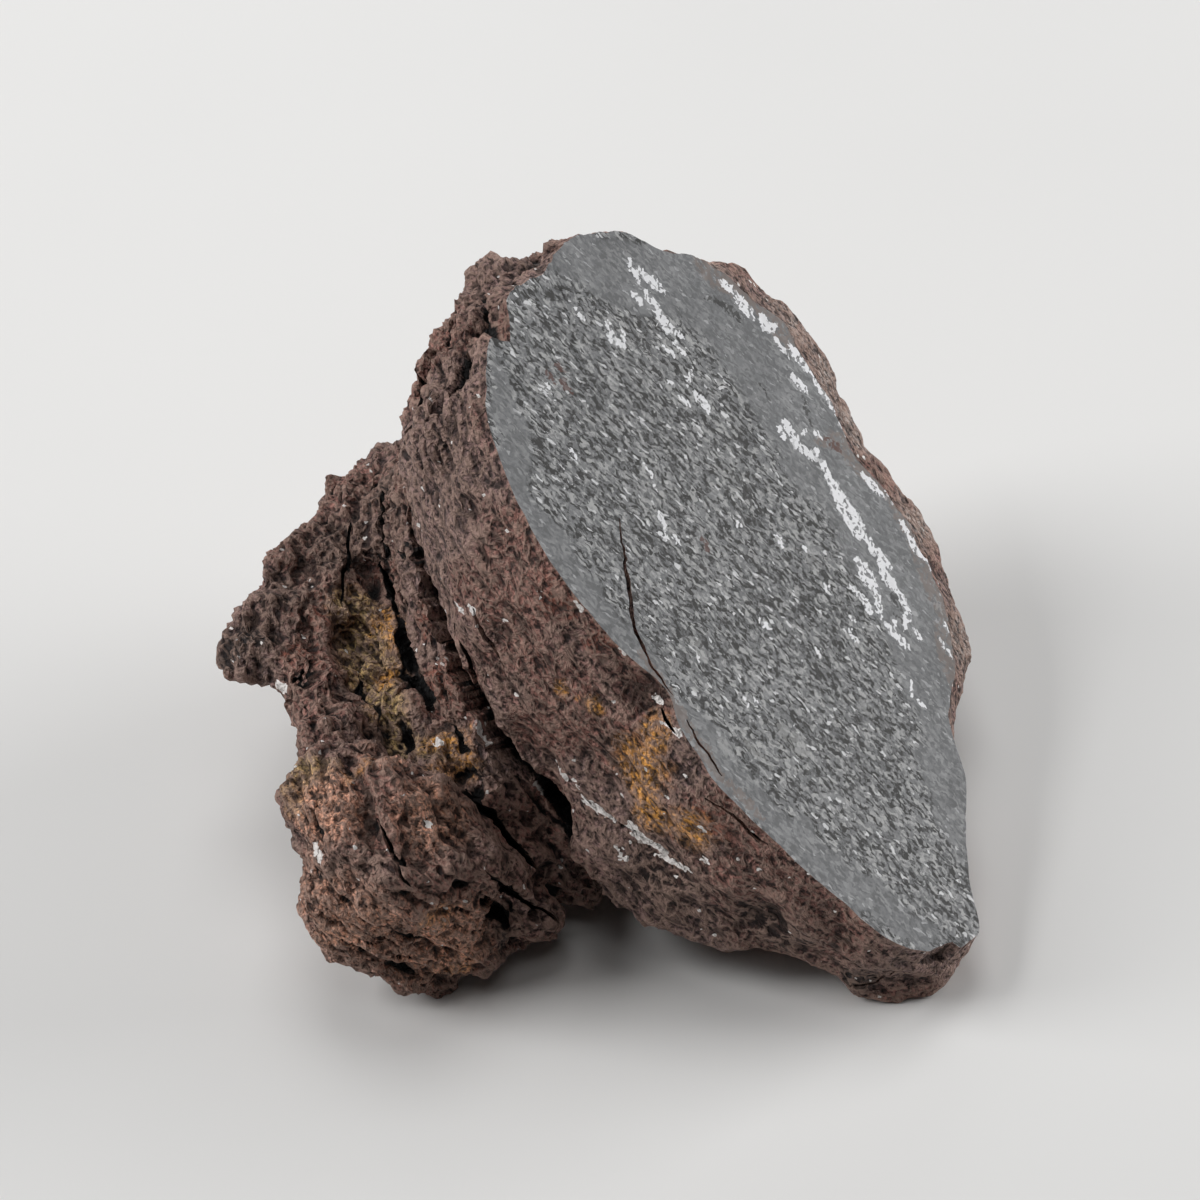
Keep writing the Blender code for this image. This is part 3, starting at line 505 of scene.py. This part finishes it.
def taken_from_node():
    """A merged copy of the solid with the gap's lump, and with spare stone drawn out over its sawn face."""
    shape = bmesh.new()
    shape.from_mesh(frame["nodes"][NODE].data)
    bmesh.ops.remove_doubles(shape, verts=shape.verts, dist=0.001 * MM)
    to_face = FACE_PLACE.inverted()
    sawn = [face for face in shape.faces if all(abs((to_face @ v.co).z) < 0.03 * MM for v in face.verts)]
    made = bmesh.ops.extrude_face_region(shape, geom=sawn)
    raised = [item for item in made["geom"] if isinstance(item, bmesh.types.BMVert)]
    bmesh.ops.translate(shape, verts=raised, vec=FACE_TURN.to_3x3() @ metres(0, 0, FACE_SPARE))
    bmesh.ops.delete(shape, geom=sawn, context="FACES_ONLY")
    *middle, radius = GAP_LUMP
    bmesh.ops.create_icosphere(shape, subdivisions=2, radius=radius * MM, matrix=Matrix.Translation(metres(*middle)))
    return shape


def terraced(value, steps):
    """A smooth value turned into ledges with steep fronts."""
    below = math.floor(value * steps)
    return (below + share(value * steps - below, 0.3, 0.7)) / steps


def wildness(place, calm):
    """How rough the crust is: fully behind the crevice, nearly on the ridge, least on the flank."""
    u, v, w = place
    wild = max(share(-w, 7.0, 8.6), 0.9 * share(-u, 9.5, 12.5), 0.5 * share(v, 7.0, 11.0))
    return calm + (1 - calm) * wild


def relief(place, settings):
    """How far the crust stands out at a place given in the sawn face's frame."""
    u, v, w = place
    wild = wildness(place, settings.calm)
    swing = place + 0.25 * noise.noise_vector(place / 0.7)
    height = settings.lump_height * noise.fractal(place / 2.0, 0.9, 2.1, 3)

    bedded = Vector((swing.x / 3.2, swing.y / 1.4, swing.z / 0.62))
    crags = noise.ridged_multi_fractal(bedded, 0.8, 2.2, 4, 1.0, 1.6)
    height += settings.crag_height * (crags - 1.05)

    long = Vector((swing.x / 1.7, swing.y, swing.z / 0.8))
    grain = noise.voronoi(long * MM / settings.grain_size)[0][0]
    height += settings.grain_height * (0.5 - grain) * (0.6 + 0.4 * wild)

    sheet = Vector((u / 3.4, v / 2.6, (w + 0.5 * noise.noise(place / 3.1)) / 0.75))
    ledges = terraced(noise.fractal(sheet, 0.9, 2.1, 3), 3)
    height += settings.layer_height * ledges

    pit = noise.voronoi(long / 1.9)[0][0]
    height -= settings.pit_depth * (1 - share(pit, 0.04, 0.26))
    return height * wild


def roughen(piece, settings):
    """Give the smooth stone its lumps, crags, grains, ledges and pits, and keep it above the table."""
    to_face = FACE_PLACE.inverted()
    shape = bmesh.new()
    shape.from_mesh(piece.data)
    for _ in range(SMOOTHINGS):
        bmesh.ops.smooth_vert(shape, verts=shape.verts, factor=0.5, use_axis_x=True, use_axis_y=True, use_axis_z=True)
    shape.normal_update()
    tree = BVHTree.FromBMesh(shape)
    for vert in shape.verts:
        place = (to_face @ vert.co) / MM
        calm = 0.4 + 0.6 * share(-place.z, 0.1, 1.3)
        push = relief(place, settings) * calm
        room = tree.ray_cast(vert.co + vert.normal * (0.02 * MM), vert.normal, WIDEST_CRACK * MM)[3]
        if room is not None:
            push = min(push, CRACK_FILL * room)
        vert.co += vert.normal * push
        vert.co.z = max(vert.co.z, 0.0)
    shape.to_mesh(piece.data)
    shape.free()


def wandering(points):
    """A crack's mouth as a closely spaced path that wanders about its given points."""
    path = []
    for start, end in zip(points, points[1:]):
        start = Vector(start)
        end = Vector(end)
        steps = max(round((end - start).length / CRACK_STEP), 1)
        path += [start.lerp(end, step / steps) for step in range(steps)]
    path.append(Vector(points[-1]))
    return [
        point + CRACK_WANDER * (noise.noise_vector(point / 0.9) + 0.5 * noise.noise_vector(point / 0.35))
        for point in path
    ]


def crack_blade(inward, gap, reach, points):
    """A wedge along a crack, thick in its middle and closing at its ends."""
    inward = Vector((inward[0], inward[1], -inward[2])).normalized()
    path = [Vector((point.x, point.y, -point.z)) for point in wandering(points)]
    shape = bmesh.new()
    rings = []
    for index, place in enumerate(path):
        ahead = path[min(index + BEND_STEPS, len(path) - 1)]
        behind = path[max(index - BEND_STEPS, 0)]
        along = (ahead - behind).normalized()
        swell = math.sin(math.pi * (index + 0.35) / (len(path) - 0.3)) ** 0.6
        swell *= 1 + 0.45 * noise.noise(place * 1.3) + 0.35 * noise.noise(place * 3.7)
        across = along.cross(inward).normalized() * (0.5 * gap * swell + 0.02)
        outside = place - inward * MOUTH_OVERRUN
        inside = place + inward * reach * (0.25 + 0.75 * swell)
        corners = [outside + across, inside + across / 3, inside - across / 3, outside - across]
        ring = [shape.verts.new(corner * MM) for corner in corners]
        rings.append([shape.edges.new((a, b)) for a, b in zip(ring, ring[1:] + ring[:1])])
    for first, second in zip(rings, rings[1:]):
        bmesh.ops.bridge_loops(shape, edges=first + second)
    bmesh.ops.contextual_create(shape, geom=rings[0])
    bmesh.ops.contextual_create(shape, geom=rings[-1])
    bmesh.ops.triangulate(shape, faces=shape.faces)
    bmesh.ops.transform(shape, matrix=FACE_PLACE, verts=shape.verts)
    bmesh.ops.recalc_face_normals(shape, faces=shape.faces)
    return shape


def chip(depth, outline):
    """The piece that broke off the rim: its outline narrows to a shallow floor."""
    middle = sum((Vector(point) for point in outline), Vector((0, 0))) / len(outline)
    narrow = [middle.lerp(Vector(point), CHIP_WAIST) for point in outline]
    shape = bmesh.new()
    for point in outline:
        shape.verts.new(metres(*point, CHIP_CLEARANCE))
    for point in narrow:
        shape.verts.new(metres(*point, -depth))
    bmesh.ops.convex_hull(shape, input=shape.verts)
    bmesh.ops.transform(shape, matrix=FACE_PLACE, verts=shape.verts)
    bmesh.ops.recalc_face_normals(shape, faces=shape.faces)
    return shape


def saw_block():
    """The block of air in front of the sawn face."""
    shape = bmesh.new()
    size = CUT_BLOCK * MM
    bmesh.ops.create_cube(shape, size=size, matrix=FACE_PLACE @ Matrix.Translation((0, 0, size / 2)))
    return shape


def take_away(piece, shape):
    """Cut a shape out of the stone."""
    cutter = new_piece("cutter", shape)
    cut = piece.modifiers.new("cut", "BOOLEAN")
    cut.operation = "DIFFERENCE"
    cut.solver = "MANIFOLD"
    cut.object = cutter
    settled(piece)
    bpy.data.objects.remove(cutter, do_unlink=True)


def stone_mesh(settings):
    """The whole stone: remeshed from the solid, roughened, cracked and sawn."""
    stone = new_piece("stone", taken_from_node())
    remesh = stone.modifiers.new("even skin", "REMESH")
    remesh.mode = "VOXEL"
    remesh.voxel_size = settings.facet
    settled(stone)
    roughen(stone, settings)
    thin = stone.modifiers.new("thin out", "DECIMATE")
    thin.ratio = min(settings.triangles / (2 * len(stone.data.polygons)), 1.0)
    settled(stone)
    for crack in CRACKS.values():
        take_away(stone, crack_blade(*crack))
    for broken in CHIPS.values():
        take_away(stone, chip(*broken))
    take_away(stone, saw_block())
    return stone


def soaked(values, ends, count, passes):
    """Values at the vertices, evened out along the mesh's edges."""
    share_of = np.bincount(ends.ravel(), minlength=count).clip(1)
    for _ in range(passes):
        for axis in range(3):
            column = values[:, axis]
            total = np.bincount(ends[:, 0], column[ends[:, 1]], count)
            total += np.bincount(ends[:, 1], column[ends[:, 0]], count)
            values[:, axis] = 0.5 * column + 0.5 * np.where(share_of > 0, total / share_of, column)
    return values


# The dents are used to paint shade into hollows and highlight onto bumps.
def mark_dents(piece):
    """Store at each vertex how far it lies below the surface about it, in millimetres."""
    mesh = piece.data
    count = len(mesh.vertices)
    places = np.empty(count * 3)
    mesh.vertices.foreach_get("co", places)
    places = places.reshape(-1, 3) / MM
    normals = np.empty(count * 3)
    mesh.vertices.foreach_get("normal", normals)
    normals = normals.reshape(-1, 3)
    ends = np.empty(len(mesh.edges) * 2, dtype=np.int64)
    mesh.edges.foreach_get("vertices", ends)
    ends = ends.reshape(-1, 2)
    lengths = np.linalg.norm(places[ends[:, 0]] - places[ends[:, 1]], axis=1)
    ends = ends[lengths < LONGEST_CRUST_EDGE]
    lone = np.bincount(ends.ravel(), minlength=count) == 0
    for name, passes in DENTS.items():
        level = soaked(places.copy(), ends, count, passes)
        dent = ((level - places) * normals).sum(axis=1)
        dent[lone] = 0.0
        mesh.attributes.new(name, "FLOAT", "POINT").data.foreach_set("value", dent)


def feelers():
    """Directions spread evenly over the upper half of a ball, closer together towards its top."""
    golden = math.pi * (3 - math.sqrt(5))
    found = []
    for number in range(FEELERS):
        out = math.sqrt((number + 0.5) / FEELERS)
        turn = number * golden
        found.append(Vector((out * math.cos(turn), out * math.sin(turn), math.sqrt(1 - out * out))))
    return found


# The share is used to paint shade into the crust's cracks and crevices.
def mark_shut_in(piece):
    """Store at each vertex the share of the directions in which other stone is close by."""
    mesh = piece.data
    shape = bmesh.new()
    shape.from_mesh(mesh)
    tree = BVHTree.FromBMesh(shape)
    shape.free()
    reach = FEELER_REACH * MM
    directions = feelers()
    shut = []
    for vert in mesh.vertices:
        turn = vert.normal.to_track_quat("Z", "X").to_matrix()
        start = vert.co + vert.normal * (0.02 * MM)
        gaps = [tree.ray_cast(start, turn @ direction, reach)[3] for direction in directions]
        shut.append(sum(1 - gap / reach for gap in gaps if gap is not None) / FEELERS)
    mesh.attributes.new("shut in", "FLOAT", "POINT").data.foreach_set("value", shut)


def wire(tree, kind, values=(), **settings):
    """Add a node, set it up, and give its inputs their links or values."""
    node = tree.nodes.new(kind)
    for name, value in settings.items():
        setattr(node, name, value)
    for socket, value in dict(values).items():
        if isinstance(value, bpy.types.NodeSocket):
            tree.links.new(value, node.inputs[socket])
        else:
            node.inputs[socket].default_value = value
    return node


def calc(tree, operation, *values):
    return wire(tree, "ShaderNodeMath", enumerate(values), operation=operation).outputs[0]


def moved(tree, operation, *values):
    return wire(tree, "ShaderNodeVectorMath", enumerate(values), operation=operation).outputs["Vector"]


def spread(tree, value, low, high, start=0.0, end=1.0):
    """A value's way from low to high, as a smooth way from start to end."""
    values = {0: value, 1: low, 2: high, 3: start, 4: end}
    return wire(tree, "ShaderNodeMapRange", values, interpolation_type="SMOOTHSTEP").outputs[0]


def mixed(tree, amount, first, second, blend="MIX"):
    colours = {0: amount}
    for socket, colour in ((6, first), (7, second)):
        colours[socket] = colour if isinstance(colour, bpy.types.NodeSocket) else (*colour, 1)
    return wire(tree, "ShaderNodeMix", colours, data_type="RGBA", blend_type=blend).outputs[2]


def cloudy(tree, place, size, detail=2.0, roughness=0.5):
    """Noise whose largest clouds are about size millimetres wide: its value and its colour."""
    values = {"Vector": place, "Scale": 1 / size, "Detail": detail, "Roughness": roughness}
    node = wire(tree, "ShaderNodeTexNoise", values)
    return node.outputs["Fac"], node.outputs["Color"]


def new_group(name, inputs, outputs):
    """An empty node group with its named sockets, and its two end nodes."""
    group = bpy.data.node_groups.new(name, "ShaderNodeTree")
    for way, sockets in (("INPUT", inputs), ("OUTPUT", outputs)):
        for label, kind in sockets.items():
            group.interface.new_socket(label, in_out=way, socket_type="NodeSocket" + kind)
    return group, group.nodes.new("NodeGroupInput"), group.nodes.new("NodeGroupOutput")


def ragged_group():
    """A place pushed about by fine clouds, so that what is drawn there gets ragged edges."""
    sockets = {"Place": "Vector", "Size": "Float", "Reach": "Float"}
    group, entry, leave = new_group("ragged place", sockets, {"Place": "Vector"})
    values = {"Vector": entry.outputs["Place"], "Scale": calc(group, "DIVIDE", 1.0, entry.outputs["Size"]), "Detail": 4.0}
    clouds = wire(group, "ShaderNodeTexNoise", values).outputs["Color"]
    push = moved(group, "SUBTRACT", clouds, (0.5, 0.5, 0.5))
    push = wire(group, "ShaderNodeVectorMath", {0: push, "Scale": entry.outputs["Reach"]}, operation="SCALE")
    place = moved(group, "ADD", entry.outputs["Place"], push.outputs["Vector"])
    group.links.new(place, leave.inputs["Place"])
    return group


def ridges_group():
    """Fine sharp ridges with wider valleys between them, as a height of about 0 to 2."""
    group, entry, leave = new_group("ridges", {"Place": "Vector", "Size": "Float"}, {"Height": "Float"})
    values = {
        "Vector": entry.outputs["Place"], "Scale": calc(group, "DIVIDE", 1.0, entry.outputs["Size"]), "Detail": 3.0,
        "Roughness": 0.55, "Lacunarity": 2.2, "Offset": 1.0, "Gain": 1.6, "Distortion": 0.4,
    }
    ridges = wire(group, "ShaderNodeTexNoise", noise_type="RIDGED_MULTIFRACTAL")
    for socket, value in values.items():
        if isinstance(value, bpy.types.NodeSocket):
            group.links.new(value, ridges.inputs[socket])
        else:
            ridges.inputs[socket].default_value = value
    group.links.new(ridges.outputs["Fac"], leave.inputs["Height"])
    return group


def grains_group():
    """Long grains: a random tone and the middle of each, and how far a place is from that middle."""
    sockets = {"Place": "Vector", "Size": "Float", "Length": "Float", "Heading": "Float"}
    group, entry, leave = new_group("grains", sockets, {"Tone": "Float", "Middle": "Vector", "Gap": "Float"})
    turned = wire(
        group, "ShaderNodeVectorRotate", {"Vector": entry.outputs["Place"], "Angle": entry.outputs["Heading"]},
        rotation_type="Z_AXIS",
    )
    long = calc(group, "MULTIPLY", entry.outputs["Size"], entry.outputs["Length"])
    size = wire(group, "ShaderNodeCombineXYZ", {0: long, 1: entry.outputs["Size"], 2: entry.outputs["Size"]})
    cells = wire(group, "ShaderNodeTexVoronoi", {"Vector": moved(group, "DIVIDE", turned.outputs[0], size.outputs[0]), "Scale": 1.0})
    tone = wire(group, "ShaderNodeSeparateColor", {0: cells.outputs["Color"]})
    middle = moved(group, "MULTIPLY", cells.outputs["Position"], size.outputs[0])
    back = wire(
        group, "ShaderNodeVectorRotate", {"Vector": middle, "Angle": entry.outputs["Heading"]},
        rotation_type="Z_AXIS", invert=True,
    )
    group.links.new(tone.outputs[0], leave.inputs["Tone"])
    group.links.new(back.outputs[0], leave.inputs["Middle"])
    group.links.new(cells.outputs["Distance"], leave.inputs["Gap"])
    return group


def placed(tree, name, **values):
    """Place a shared node group and give its inputs their links or values."""
    node = wire(tree, "ShaderNodeGroup", node_tree=bpy.data.node_groups[name])
    for socket, value in values.items():
        if isinstance(value, bpy.types.NodeSocket):
            tree.links.new(value, node.inputs[socket])
        else:
            node.inputs[socket].default_value = value
    return node.outputs


def lens(start, end, half_width):
    """Middle, turn and half axes of a long mark between two places."""
    start = Vector(start)
    along = Vector(end) - start
    half_axes = (along.length / 2 + half_width, half_width, half_width)
    return start + along / 2, along.to_track_quat("X", "Z").to_euler(), half_axes


def on_face(mark):
    """A mark of the sawn face as start, end and half width in its frame."""
    return (mark[0], mark[1], 0), (mark[2], mark[3], 0), mark[4]


def after(tree, place, value):
    """The same place, but worked out only once the value is, so that few marks wait at a time."""
    return moved(tree, "MULTIPLY_ADD", value, (1e-9, 1e-9, 1e-9), place)


def nearest(tree, place, lenses):
    """How near a place is to the nearest of some marks: 0 in its middle and 1 on its edge."""
    least = None
    for number, (middle, turn, half_axes) in enumerate(lenses):
        if number % MARKS_TOGETHER == MARKS_TOGETHER - 1:
            place = after(tree, place, least)
        values = {"Vector": place, "Location": middle, "Rotation": turn, "Scale": half_axes}
        inside = wire(tree, "ShaderNodeMapping", values, vector_type="TEXTURE").outputs[0]
        gap = wire(tree, "ShaderNodeVectorMath", {0: inside}, operation="LENGTH").outputs["Value"]
        least = gap if least is None else calc(tree, "MINIMUM", least, gap)
    return least


def new_material(name):
    material = bpy.data.materials.new(name)
    material.use_nodes = True
    tree = material.node_tree
    return material, tree, tree.nodes["Principled BSDF"], wire(tree, "ShaderNodeTexCoord").outputs["Object"]


def in_face_frame(tree, metre_place):
    """A place in the sawn face's frame, in millimetres."""
    values = {"Vector": metre_place, "Location": FACE_POINT, "Rotation": FACE_TURN.to_euler(), "Scale": (MM, MM, MM)}
    return wire(tree, "ShaderNodeMapping", values, vector_type="TEXTURE").outputs[0]


def attribute(tree, name):
    return wire(tree, "ShaderNodeAttribute", attribute_name=name).outputs["Fac"]


def shaded(tree, colour, value):
    """A colour made lighter or darker by a value."""
    grey = wire(tree, "ShaderNodeCombineColor", {0: value, 1: value, 2: value}).outputs[0]
    return mixed(tree, 1.0, colour, grey, "MULTIPLY")


def crust_material(colours):
    """Rusty crust: mottled brown with stains, painted shade in hollows and cracks, fine bright ridges partly painted
    highlight, and a few flakes and specks painted as glints.
    """
    material, tree, surface, metre_place = new_material("crust")
    place = wire(tree, "ShaderNodeVectorMath", {0: metre_place, "Scale": 1 / MM}, operation="SCALE").outputs["Vector"]
    ragged = placed(tree, "ragged place", Place=place, Size=1.2, Reach=1.9)["Place"]
    blotches = cloudy(tree, ragged, 0.9, 3.0)[0]
    colour = mixed(tree, spread(tree, cloudy(tree, place, 4.5)[0], 0.42, 0.58), colours.brown, colours.grey)
    for name, spots in STAINS.items():
        lenses = [(Vector(spot[:3]), (0, 0, 0), (spot[3],) * 3) for spot in spots]
        near = nearest(tree, ragged, lenses)
        patchy = spread(tree, blotches, 0.30, 0.52, STAIN_LEAST, 1.0)
        amount = calc(tree, "MULTIPLY", spread(tree, near, 1.15, 0.35), patchy)
        colour = mixed(tree, amount, colour, getattr(colours, name))
        ragged = after(tree, ragged, near)

    bedded = moved(tree, "MULTIPLY", in_face_frame(tree, metre_place), (0.85, 1.0, 1.1))
    ridged = placed(tree, "ridges", Place=bedded, Size=0.44)["Height"]
    mottle = cloudy(tree, bedded, 0.18, 4.0, 0.62)[0]
    broad_mottle = cloudy(tree, bedded, 1.3, 3.0, 0.6)[0]
    colour = shaded(tree, colour, spread(tree, broad_mottle, 0.34, 0.66, 0.68, 1.3))
    colour = shaded(tree, colour, spread(tree, mottle, 0.39, 0.61, 0.16, 2.0))
    colour = mixed(tree, spread(tree, ridged, 0.70, 0.15, 0.0, 0.95), colour, colours.dark)
    # Pale ridge tops: partly worn grain tops, partly painted highlight.
    colour = mixed(tree, spread(tree, ridged, 0.95, 1.5, 0.0, 0.55), colour, colours.pale_wear_and_highlight)

    # Painted shade and highlight from the shape: darker in fine and broad dents, paler on fine bumps.
    fine = attribute(tree, "fine dent")
    colour = mixed(tree, spread(tree, fine, 0.0, -0.06, 0.0, 0.25), colour, colours.pale_wear_and_highlight)
    colour = mixed(tree, spread(tree, fine, 0.0, 0.05, 0.0, 0.7), colour, colours.dark)
    colour = mixed(tree, spread(tree, attribute(tree, "broad dent"), 0.15, 0.8, 0.0, 0.35), colour, colours.dark)

    # Painted glints: white on the listed flakes and on a rare few random specks.
    glint_cells = placed(tree, "grains", Place=place, Size=0.12, Length=1.6, Heading=0.9)
    flake_glints = spread(tree, nearest(tree, glint_cells["Middle"], [lens(*flake_and_glint) for flake_and_glint in FLAKE_GLINTS]), 1.25, 1.2)
    bright = calc(tree, "MAXIMUM", flake_glints, spread(tree, glint_cells["Tone"], 0.996, 0.997))
    colour = mixed(tree, bright, colour, colours.flake_and_glint)
    # Painted shade: the crust goes near black where much stone lies close about it.
    colour = mixed(tree, spread(tree, attribute(tree, "shut in"), 0.30, 0.45), colour, colours.shadow)

    tree.links.new(colour, surface.inputs["Base Color"])
    tree.links.new(spread(tree, mottle, 0.3, 0.7, 0.8, 0.5), surface.inputs["Roughness"])
    surface.inputs["Specular IOR Level"].default_value = 0.3
    height = calc(tree, "ADD", ridged, calc(tree, "MULTIPLY", mottle, 0.9))
    bump = wire(tree, "ShaderNodeBump", {"Height": height, "Strength": 1.0, "Distance": 0.11 * MM})
    tree.links.new(bump.outputs[0], surface.inputs["Normal"])
    return material


def sawn_material(colours):
    """Sawn stone: grey with fine laths, smooth bands by the rim, and white, dark and rusty marks; the white of the
    flecks and glints is painted reflection.
    """
    material, tree, surface, metre_place = new_material("sawn stone")
    place = in_face_frame(tree, metre_place)
    bent = placed(tree, "ragged place", Place=place, Size=0.5, Reach=0.5)["Place"]
    laths = placed(tree, "grains", Place=bent, Size=colours.lath / MM, Length=2.3, Heading=-0.35)
    crystals = placed(tree, "grains", Place=bent, Size=1.7 * colours.lath / MM, Length=1.6, Heading=0.5)
    dust = cloudy(tree, place, 0.16, 3.0, 0.6)[0]

    ragged = placed(tree, "ragged place", Place=place, Size=1.6, Reach=2.6)["Place"]
    band = nearest(tree, ragged, [lens(*on_face(mark)) for mark in SMOOTH_BANDS])
    smooth = spread(tree, band, 1.15, 0.75)
    coarse = spread(tree, smooth, 0.0, 1.0, 1.0, 0.3)
    pattern = calc(tree, "ADD", calc(tree, "MULTIPLY", laths["Tone"], 0.5), calc(tree, "MULTIPLY", crystals["Tone"], 0.25))
    pattern = calc(tree, "ADD", pattern, calc(tree, "MULTIPLY", dust, 0.5))
    darkness = calc(tree, "MULTIPLY", spread(tree, pattern, 0.66, 0.40), coarse)
    lightness = calc(tree, "MULTIPLY", spread(tree, pattern, 0.64, 0.92), coarse)
    shade = spread(tree, cloudy(tree, place, 3.0, 3.0)[0], 0.3, 0.7, 0.88, 1.1)
    colour = shaded(tree, colours.grey, shade)
    colour = mixed(tree, darkness, colour, colours.dark)
    colour = mixed(tree, lightness, colour, colours.light)
    # Painted glints: a few lath cells turned white on the coarse part of the face.
    glint = spread(tree, laths["Tone"], 0.965, 0.985, 0.0, 0.55)
    colour = mixed(tree, calc(tree, "MULTIPLY", glint, coarse), colour, colours.white)

    cells = placed(tree, "grains", Place=bent, Size=0.12, Length=1.4, Heading=0.9)
    loose = after(tree, cells["Middle"], band)
    # The white flecks are painted reflections of metal; the other marks are the face's own colours.
    layers = (
        (TAUPE_RIM, colours.taupe, 0.9), (GREY_CLASTS, colours.light, 0.45), (DARK_MARKS, colours.dark, 0.85),
        (RUSTY_PITS, colours.rust, 0.85), (WHITE_FLECK_REFLECTIONS, colours.white, 0.9),
    )
    broken = spread(tree, cells["Tone"], 0.24, 0.30, 0.1, 1.0)
    for marks, paint, strength in layers:
        near = nearest(tree, loose, [lens(*on_face(mark)) for mark in marks])
        amount = calc(tree, "MULTIPLY", spread(tree, near, 1.15, 1.05, 0.0, strength), broken)
        colour = mixed(tree, amount, colour, paint)
        loose = after(tree, loose, near)

    tree.links.new(colour, surface.inputs["Base Color"])
    tree.links.new(spread(tree, pattern, 0.4, 0.9, 0.66, 0.5), surface.inputs["Roughness"])
    surface.inputs["Specular IOR Level"].default_value = 0.3
    height = calc(tree, "MULTIPLY", pattern, coarse)
    bump = wire(tree, "ShaderNodeBump", {"Height": height, "Strength": 1.0, "Distance": 0.02 * MM})
    tree.links.new(bump.outputs[0], surface.inputs["Normal"])
    return material


def table_material(settings):
    """Matt card, with the faintest cloudiness."""
    material, tree, surface, metre_place = new_material("table")
    clouds = cloudy(tree, metre_place, 0.08, 3.0)[0]
    darker = [0.97 * part for part in settings.table]
    colour = mixed(tree, spread(tree, clouds, 0.35, 0.65), settings.table, darker)
    tree.links.new(colour, surface.inputs["Base Color"])
    surface.inputs["Roughness"].default_value = 0.8
    return material


class METEORITE_OT_build_stone(bpy.types.Operator):
    """Build the stone with its crust, cracks and sawn face"""

    bl_idname = "meteorite.build_stone"
    bl_label = "Build Stone"

    def execute(self, context):
        stone = stone_mesh(context.scene.meteorite_stone)
        mark_dents(stone)
        mark_shut_in(stone)
        stone.data.materials.clear()
        stone.data.materials.append(crust_material(context.scene.meteorite_crust))
        stone.data.materials.append(sawn_material(context.scene.meteorite_sawn))
        to_face = FACE_PLACE.inverted()
        heights = [(to_face @ vert.co).z for vert in stone.data.vertices]
        for face in stone.data.polygons:
            face.material_index = int(all(abs(heights[i]) < 0.005 * MM for i in face.vertices))
        stone.data.shade_smooth()
        stone.data.set_sharp_from_angle(angle=SHARP_ANGLE)
        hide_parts(NODE)
        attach(stone, "root")
        return {"FINISHED"}


def aim(obj, target):
    obj.rotation_euler = (target - obj.location).to_track_quat("-Z", "Y").to_euler()


def soft_light(name, target, heading, height, width, tall, power):
    """A soft rectangular light at a heading and height, in degrees, aimed at the stone."""
    light = bpy.data.lights.new(name, "AREA")
    light.shape = "RECTANGLE"
    light.energy = power
    light.size = width
    light.size_y = tall
    lamp = bpy.data.objects.new(name, light)
    bpy.context.scene.collection.objects.link(lamp)
    way = Matrix.Rotation(math.radians(heading), 3, "Z") @ Matrix.Rotation(math.radians(-height), 3, "Y")
    lamp.location = target + way @ Vector((LIGHT_DISTANCE, 0, 0))
    aim(lamp, target)


class METEORITE_OT_build_studio(bpy.types.Operator):
    """Build the table, the lights and the camera"""

    bl_idname = "meteorite.build_studio"
    bl_label = "Build Studio"

    def execute(self, context):
        settings = context.scene.meteorite_studio
        shape = bmesh.new()
        bmesh.ops.create_grid(shape, x_segments=1, y_segments=1, size=1.5)
        table = new_piece("table", shape)
        table.data.materials.append(table_material(settings))
        target = metres(*CAMERA_TARGET)
        for name, (*where, power) in LIGHTS.items():
            soft_light(name, target, *where, settings.brightness * power)
        world = bpy.data.worlds.new("room")
        world.use_nodes = True
        world.node_tree.nodes["Background"].inputs["Color"].default_value = (1, 1, 1, 1)
        world.node_tree.nodes["Background"].inputs["Strength"].default_value = settings.room_light
        context.scene.world = world
        camera = bpy.data.objects.new("camera", bpy.data.cameras.new("camera"))
        camera.data.lens = 112.5
        camera.data.sensor_width = 36
        camera.data.clip_start = 0.005
        context.scene.collection.objects.link(camera)
        elevation = math.radians(42)
        camera.location = target + metres(0, -150 * math.cos(elevation), 150 * math.sin(elevation))
        aim(camera, target)
        context.scene.camera = camera
        context.scene.view_settings.view_transform = "Standard"
        return {"FINISHED"}


class METEORITE_PT_panel(bpy.types.Panel):
    bl_idname = "METEORITE_PT_panel"
    bl_label = "Meteorite"
    bl_space_type = "VIEW_3D"
    bl_region_type = "UI"
    bl_category = "Meteorite"

    def draw(self, context):
        self.layout.operator(METEORITE_OT_build_stone.bl_idname)
        self.layout.operator(METEORITE_OT_build_studio.bl_idname)


CLASSES = (
    StoneSettings, CrustSettings, SawnSettings, StudioSettings,
    METEORITE_OT_build_stone, METEORITE_OT_build_studio, METEORITE_PT_panel,
)


def register():
    for cls in CLASSES:
        bpy.utils.register_class(cls)
    bpy.types.Scene.meteorite_stone = PointerProperty(type=StoneSettings)
    bpy.types.Scene.meteorite_crust = PointerProperty(type=CrustSettings)
    bpy.types.Scene.meteorite_sawn = PointerProperty(type=SawnSettings)
    bpy.types.Scene.meteorite_studio = PointerProperty(type=StudioSettings)


def unregister():
    del bpy.types.Scene.meteorite_studio
    del bpy.types.Scene.meteorite_sawn
    del bpy.types.Scene.meteorite_crust
    del bpy.types.Scene.meteorite_stone
    for cls in reversed(CLASSES):
        bpy.utils.unregister_class(cls)


def main():
    register()
    ragged_group()
    ridges_group()
    grains_group()
    bpy.ops.meteorite.build_studio()
    bpy.ops.meteorite.build_stone()


if __name__ == "__main__":
    main()
